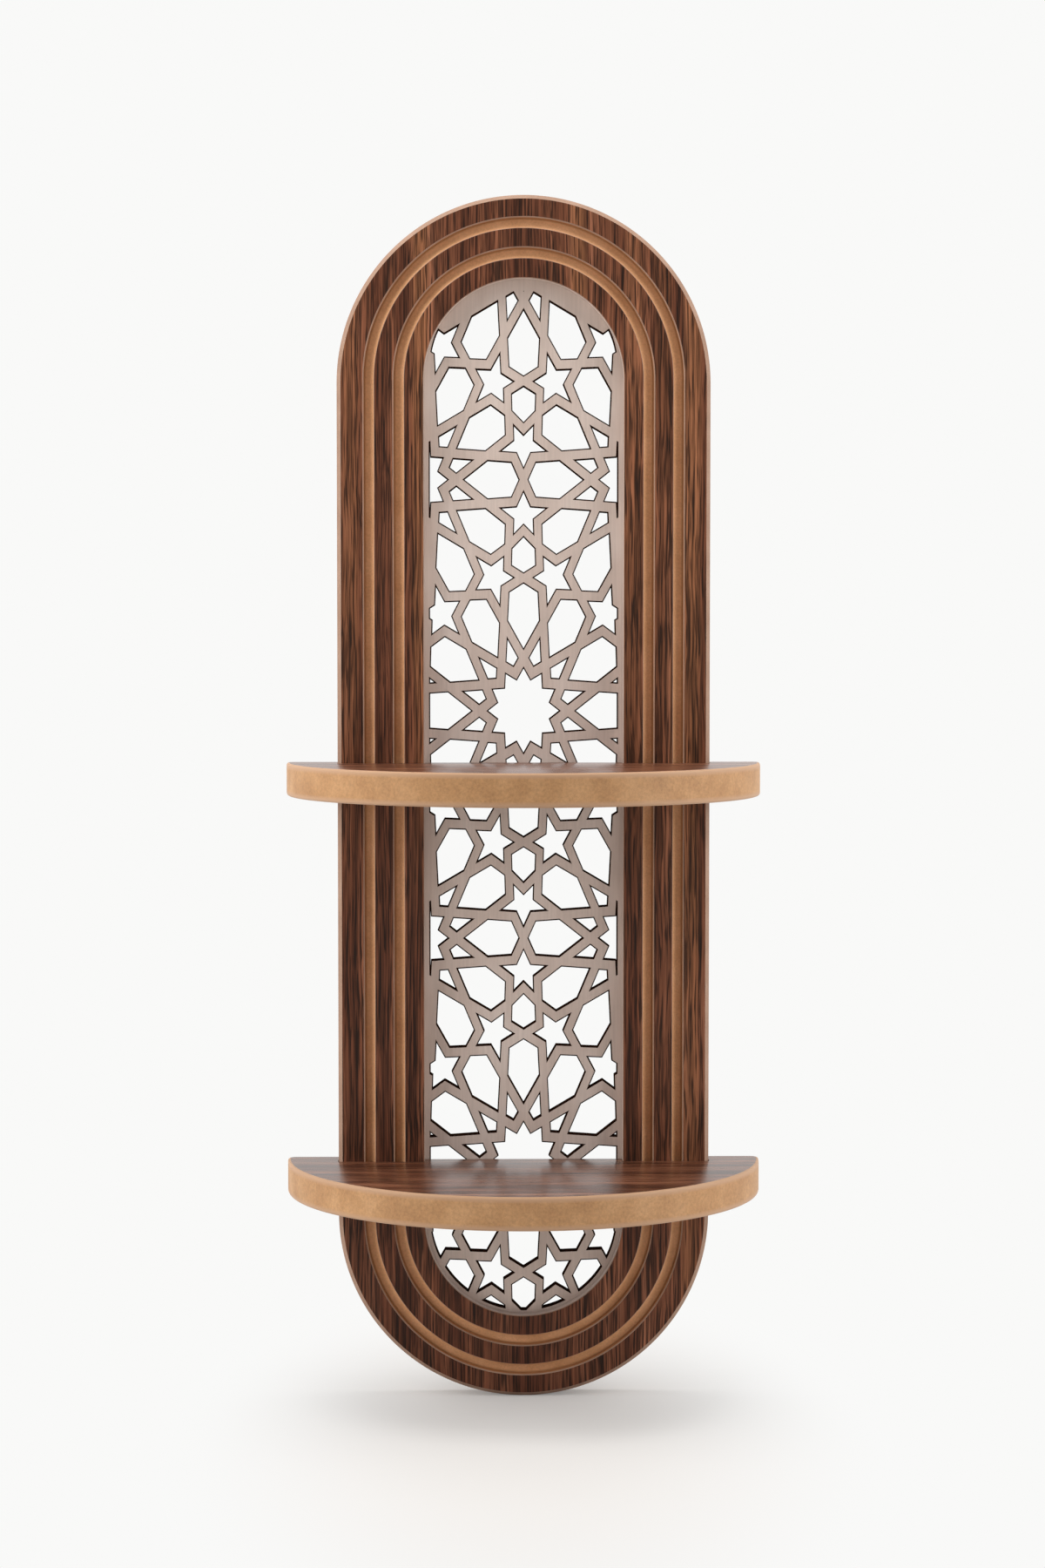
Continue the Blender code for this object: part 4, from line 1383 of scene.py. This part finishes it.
    def build(self) -> None:
        """Pierces and dresses the panel."""
        low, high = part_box("lattice_panel")
        flare = self.overshoot + self.burnt_edge
        front, burnt, back = low.y - 2 * self.overshoot, low.y + self.burnt_edge, high.y + self.overshoot
        holes = StarRosette().holes(self.spacing)
        mouths = StarRosette().holes(self.spacing, flare + self.overshoot)
        bm = bmesh.new()
        for hole, mouth in zip(holes, mouths):
            wall = [(point.real, point.imag) for point in hole]
            flared = [(point.real, point.imag) for point in mouth]
            add_loft(bm, [(front, flared), (burnt, wall), (back, wall)])
        piece = new_object("star_lattice", bm)
        self.pierced().put_on(
            piece,
            spacing=self.spacing,
            row_spacing=self.row_spacing,
            upper_row_spacing=self.upper_row_spacing,
            least_reach=self.least_reach,
            end_steps=self.end_steps,
            paint=self.palette.paint,
            char=self.palette.char,
        )
        shade(piece)
        register(piece, "taupe_lattice", "lattice_panel")


@dataclass
class HalfRoundShelf:
    """A half-round shelf board, notched at the back over the two uprights of the frame."""

    palette: Palette
    frame: FrameBoard
    node: str
    ear_setback: float = 0.0005
    ear_corner: float = 0.003
    rim_steps: int = 160
    corner_steps: int = 8
    eased_rim: float = 0.0015
    ease_steps: int = 5
    pale_edge_reach: float = 0.0036

    def outline(self, radius: float) -> Outline:
        """Lays out the plan of the shelf.

        Args:
            radius: Radius of the half-round rim.

        Returns:
            Points of X and Y, from the right end of the rim to the left one and back along the notches.
        """
        corner_depth = self.ear_setback + self.ear_corner
        corner_x = math.sqrt((radius - self.ear_corner) ** 2 - corner_depth**2)
        lean = math.degrees(math.atan2(corner_depth, corner_x))
        right = arc(self.ear_corner, 90, -lean, self.corner_steps, (corner_x, -corner_depth))
        front = arc(radius, -lean, -180 + lean, self.rim_steps)
        rim = right + front[1:-1] + [(-x, y) for x, y in reversed(right)]
        gap = self.frame.fit_gap
        notch = self.frame.front - gap
        tongue = self.frame.shoulder
        ear = -self.frame.half_width - gap
        inside = -self.frame.opening + gap
        half_back = [(ear, -self.ear_setback), (ear, notch), (inside, notch), (inside, tongue)]
        return rim + half_back + [(-x, y) for x, y in reversed(half_back)]

    def rows(self, low: float, high: float) -> list[tuple[float, float, float]]:
        """Lays out the rim's profile.

        Args:
            low: Height of the underside.
            high: Height of the top.

        Returns:
            Height, inset of the rim and share of the paler edge tone of each row, from the underside up.
        """
        ease = self.eased_rim
        quarter = arc(ease, 90, 0, self.ease_steps)
        half = [(ease - rise, ease - reach, 1.0) for reach, rise in quarter]
        half.append((self.pale_edge_reach, 0.0, 0.0))
        lower = [(low + height, inset, wear) for height, inset, wear in half]
        return lower + [(high - height, inset, wear) for height, inset, wear in reversed(half)]

    def build(self) -> None:
        """Builds and dresses the shelf."""
        low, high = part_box(self.node)
        bm = bmesh.new()
        painted_shade_and_pale_edge_tone = bm.verts.layers.float.new(SHADE_AND_PALE_EDGE)
        rings = []
        for z, inset, wear in self.rows(low.z, high.z):
            ring = [bm.verts.new((x, y, z)) for x, y in self.outline(-low.y - inset)]
            for corner in ring:
                corner[painted_shade_and_pale_edge_tone] = wear
            rings.append(ring)
        add_skin(bm, rings, side_slot=1)
        name = f"half_round_{self.node}"
        piece = new_object(name, bm, self.palette.shelf_decor, self.palette.rim)
        shade(piece)
        register(piece, "walnut_shelf", self.node)


class HeadForm(Enum):
    """The form of a screw's head."""

    COUNTERSUNK = "countersunk"
    PAN = "pan"


@dataclass
class ScrewSet:
    """Like screws of one job, each with a cross recess at its own random turn."""

    name: str
    slot: str
    finish: Material
    form: HeadForm
    nodes: list[str]
    diameter: float
    head: float
    length: float
    head_height: float = 0.0
    seed: int = 1
    sides: int = 40
    point_share: float = 0.25
    recess_share: float = 0.62
    recess_slot_share: float = 0.17
    recess_depth_share: float = 0.34
    recess_overshoot_share: float = 0.25
    recess_taper: float = 0.45
    edge_share: float = 0.06
    crown_shares: tuple[float, ...] = (0.35, 0.55, 0.72, 0.86, 0.95, 1.0)
    smooth_angle: float = 35.0

    def profile(self) -> Outline:
        """Lays out the turned profile, from the top of the head at y = 0 to the point at -Y.

        Returns:
            Points of radius and depth.
        """
        shank = self.diameter / 2
        if self.form is HeadForm.COUNTERSUNK:
            under = -(self.head - self.diameter) / 2
            edge = self.diameter * self.edge_share
            crown = [(self.head / 2 - edge, 0.0), (self.head / 2, -edge)]
        else:
            under = -self.head_height
            drops = [1 - math.sqrt(1 - share**2) for share in self.crown_shares]
            crown = [(self.head / 2 * share, under * drop) for share, drop in zip(self.crown_shares, drops)]
            crown.append((self.head / 2, under))
        end = under - self.length if self.form is HeadForm.PAN else -self.length
        return crown + [(shank, under), (shank, end + self.diameter), (shank * self.point_share, end)]

    def recess(self) -> Object:
        """Makes the tapered cross that is pressed into the head.

        Returns:
            A closed cutting tool with the screw's finish.
        """
        reach = self.head * self.recess_share / 2
        arm = self.head * self.recess_slot_share / 2
        quarter = [(reach, -arm), (reach, arm), (arm, arm)]
        cross = []
        for turn in range(4):
            spin = 1j**turn
            cross += [complex(x, z) * spin for x, z in quarter]
        depth = self.head * self.recess_depth_share
        bm = bmesh.new()
        levels = []
        for y, share in ((depth * self.recess_overshoot_share, 1.0), (-depth, self.recess_taper)):
            levels.append((y, [(point.real * share, point.imag * share) for point in cross]))
        add_loft(bm, levels)
        return new_object(f"{self.name}_recess", bm, self.finish)

    def scatter(self) -> NodeTool:
        """Makes the tree that sets a screw at each place, turned at random about its axis.

        Returns:
            The tree, whose geometry input holds the places.
        """
        tool = NodeTool(
            f"{self.name}_places",
            {"Geometry": "Geometry", "Screw": "Object", "Seed": "Int", "Finish": "Material"},
        )
        screw = tool.add("GeometryNodeObjectInfo", {"Object": tool.given["Screw"]}).outputs["Geometry"]
        turn = tool.add(
            "FunctionNodeRandomValue",
            {"Min": 0.0, "Max": math.pi / 2, "Seed": tool.given["Seed"]},
            data_type="FLOAT",
        )
        euler = tool.add(JOIN_XYZ, {"Y": turn})
        rotation = tool.add("FunctionNodeEulerToRotation", {"Euler": euler})
        placed = tool.add(
            "GeometryNodeInstanceOnPoints",
            {"Points": tool.given["Geometry"], "Instance": screw, "Rotation": rotation},
        )
        real = tool.add("GeometryNodeRealizeInstances", {"Geometry": placed})
        tool.close(Geometry=tool.add(SET_MATERIAL, {"Geometry": real, "Material": tool.given["Finish"]}))
        return tool

    def build(self) -> None:
        """Builds, places and dresses the screws, as one piece."""
        bm = bmesh.new()
        add_turned(bm, self.profile(), self.sides)
        screw = new_object(f"{self.name}_pattern", bm, self.finish)
        cut(screw, self.recess())
        places = bmesh.new()
        for node in self.nodes:
            low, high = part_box(node)
            places.verts.new(((low.x + high.x) / 2, high.y, (low.z + high.z) / 2))
        piece = new_object(self.name, places)
        self.scatter().put_on(piece, screw=screw, seed=self.seed, finish=self.finish)
        bpy.data.objects.remove(screw)
        shade(piece, self.smooth_angle)
        register(piece, self.slot, *self.nodes)


@dataclass
class Fastenings:
    """Everything at the back that holds the shelf together and on the wall."""

    palette: Palette
    nodes: dict[str, Object]
    lattice_screws: int = 8

    def dress_kept_nodes(self) -> None:
        """Gives the hanger plates and the dowels, whose CAD shapes stay, their finishes."""
        finishes = {f"hanger_plate_{side}": self.palette.zinc for side in SIDES}
        for shelf in SHELVES:
            finishes.update({f"{shelf}_shelf_dowel_{side}": self.palette.beech for side in SIDES})
        for name, finish in finishes.items():
            slots = self.nodes[name].data.materials
            slots.clear()
            slots.append(finish)
            LOG.info("%s: %s", name, finish.name)

    def build(self) -> None:
        """Builds the three sets of screws and dresses the plates and dowels."""
        ScrewSet(
            name="shelf_screws",
            slot="yellow_steel",
            finish=self.palette.yellow_zinc,
            form=HeadForm.COUNTERSUNK,
            nodes=[f"{shelf}_shelf_screw_{side}" for shelf in SHELVES for side in SIDES],
            diameter=0.004,
            head=0.008,
            length=0.045,
            seed=3,
        ).build()
        ScrewSet(
            name="lattice_screws",
            slot="zinc_steel",
            finish=self.palette.zinc,
            form=HeadForm.PAN,
            nodes=[f"lattice_screw_{number + 1}" for number in range(self.lattice_screws)],
            diameter=0.003,
            head=0.0056,
            length=0.012,
            head_height=0.0018,
            seed=5,
        ).build()
        ScrewSet(
            name="hanger_screws",
            slot="zinc_steel",
            finish=self.palette.zinc,
            form=HeadForm.COUNTERSUNK,
            nodes=[f"hanger_screw_{side}_{place}" for side in SIDES for place in ("inner", "outer")],
            diameter=0.0028,
            head=0.006,
            length=0.010,
            seed=7,
        ).build()
        self.dress_kept_nodes()


@dataclass(frozen=True)
class SoftBox:
    """A soft box: its place from the shelf's middle, its width and height, and its power in watts."""

    name: str
    place: tuple[float, float, float]
    size: tuple[float, float]
    power: float

    def hang(self, aim: Vector) -> None:
        """Hangs the box, which lights the shelf without a mirror image of itself in the glossy faces.

        Args:
            aim: The shelf's middle, which the box faces.
        """
        data = bpy.data.lights.new(self.name, "AREA")
        data.shape = "RECTANGLE"
        data.size, data.size_y = self.size
        data.energy = self.power
        lamp = bpy.data.objects.new(self.name, data)
        lamp.location = aim + Vector(self.place)
        lamp.rotation_euler = (aim - lamp.location).to_track_quat("-Z", "Y").to_euler()
        lamp.visible_camera = False
        lamp.visible_glossy = False
        bpy.context.scene.collection.objects.link(lamp)


@dataclass
class Studio:
    """The pale floor, the soft light and the camera of the photograph's view."""

    frame: FrameBoard
    soft_boxes: tuple[SoftBox, ...] = (
        SoftBox("left_box", (-1.45, -0.32, 0.55), (1.4, 2.0), 33.5),
        SoftBox("right_box", (1.45, -0.32, 0.55), (1.4, 2.0), 29.0),
        SoftBox("overhead_box", (-0.05, -0.14, 1.4), (0.9, 1.1), 16.0),
    )
    floor_size: float = 12.0
    floor_colour: str = "#d5d1cd"
    floor_roughness: float = 0.5
    white: str = "#f9f9f8"
    near: float = 0.06
    far: float = 0.42
    near_white: float = 0.15
    shadow_narrowing: float = 2.1
    shadow_forward: float = 0.11
    ambient: float = 0.21
    ambient_colour: str = "#ffffff"
    camera_place: tuple[float, float, float] = (-0.0261, -1.9626, 0.4628)
    camera_down: float = 3.029
    camera_right: float = 0.747
    focal_pixels: float = 3847.0
    image_height: float = 1800.0
    sensor: float = 36.0

    @staticmethod
    def seen(tree: NodeTree) -> Node:
        """Tells the rays that show a surface, also in metal or through glass, from those that light things.

        Args:
            tree: Tree that gets the nodes.

        Returns:
            A node that gives 1 for the rays that show the surface.
        """
        rays = add_node(tree, "ShaderNodeLightPath").outputs
        seen = rays["Is Camera Ray"]
        for kind in ("Is Glossy Ray", "Is Transmission Ray"):
            seen = add_node(tree, MATH, [seen, rays[kind]], operation="MAXIMUM")
        return seen

    def floor(self) -> None:
        """Lays the floor under the foot: pale near the shelf, and fading to the white of the backdrop."""
        material = bpy.data.materials.new("pale_studio_floor")
        material.use_nodes = True
        tree = material.node_tree
        tree.nodes.clear()
        place = add_node(tree, "ShaderNodeTexCoord").outputs["Object"]
        narrow = add_node(
            tree,
            "ShaderNodeMapping",
            {
                "Vector": place,
                "Location": (0.0, self.shadow_forward, 0.0),
                "Scale": (self.shadow_narrowing, 1.0, 1.0),
            },
        )
        away = add_node(tree, "ShaderNodeVectorMath", [narrow], operation="LENGTH").outputs["Value"]
        fade = add_node(
            tree,
            MAP_RANGE,
            {"Value": away, FROM: (self.near, self.far), TO: (self.near_white, 1.0)},
            interpolation_type="SMOOTHSTEP",
        )
        amount = add_node(tree, MATH, [fade, self.seen(tree)], operation="MULTIPLY")
        matt = add_node(
            tree,
            "ShaderNodeBsdfDiffuse",
            {"Color": linear(self.floor_colour), "Roughness": self.floor_roughness},
        )
        glow = add_node(tree, "ShaderNodeEmission", {"Color": linear(self.white), "Strength": 1.0})
        mixed = add_node(tree, "ShaderNodeMixShader", [amount, matt, glow])
        add_node(tree, "ShaderNodeOutputMaterial", {"Surface": mixed})
        bm = bmesh.new()
        bmesh.ops.create_grid(bm, x_segments=1, y_segments=1, size=self.floor_size / 2)
        floor = new_object("studio_floor", bm, material)
        floor.location.z = self.frame.foot

    def world(self) -> None:
        """Sets an even white surround that the camera sees as the backdrop."""
        world = bpy.data.worlds.new("white_studio")
        bpy.context.scene.world = world
        world.use_nodes = True
        tree = world.node_tree
        tree.nodes.clear()
        light = add_node(
            tree, "ShaderNodeBackground", {"Color": linear(self.ambient_colour), "Strength": self.ambient}
        )
        backdrop = add_node(tree, "ShaderNodeBackground", {"Color": linear(self.white), "Strength": 1.0})
        mixed = add_node(tree, "ShaderNodeMixShader", [self.seen(tree), light, backdrop])
        add_node(tree, "ShaderNodeOutputWorld", {"Surface": mixed})

    def camera(self) -> None:
        """Sets the camera at the photograph's place, looking slightly down and to the right."""
        data = bpy.data.cameras.new("photograph_view")
        data.sensor_width = self.sensor
        data.lens = self.focal_pixels / self.image_height * self.sensor
        data.dof.use_dof = False
        camera = bpy.data.objects.new("photograph_view", data)
        x, y, above_foot = self.camera_place
        camera.location = (x, y, self.frame.foot + above_foot)
        camera.rotation_euler = (math.radians(90 - self.camera_down), 0.0, math.radians(-self.camera_right))
        bpy.context.scene.collection.objects.link(camera)
        bpy.context.scene.camera = camera

    def build(self) -> None:
        """Sets up the floor, the light and the camera."""
        bpy.context.scene.view_settings.view_transform = "Standard"
        self.floor()
        self.world()
        for soft_box in self.soft_boxes:
            soft_box.hang(Vector((0.0, 0.0, self.frame.middle)))
        self.camera()
        LOG.info("studio: floor, %d soft boxes and the camera", len(self.soft_boxes))


def main() -> None:
    """Builds the wall shelf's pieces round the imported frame, in order."""
    logging.basicConfig(level=logging.INFO, format="%(message)s")
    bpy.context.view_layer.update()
    palette = Palette()
    path = round_end_path()
    board = FrameBoard(palette, path)
    board.build()
    LatticePanel(palette, board, path).build()
    for place in SHELVES:
        HalfRoundShelf(palette, board, f"{place}_shelf").build()
    Fastenings(palette, frame["nodes"]).build()
    Studio(board).build()


if __name__ == "__main__":
    main()
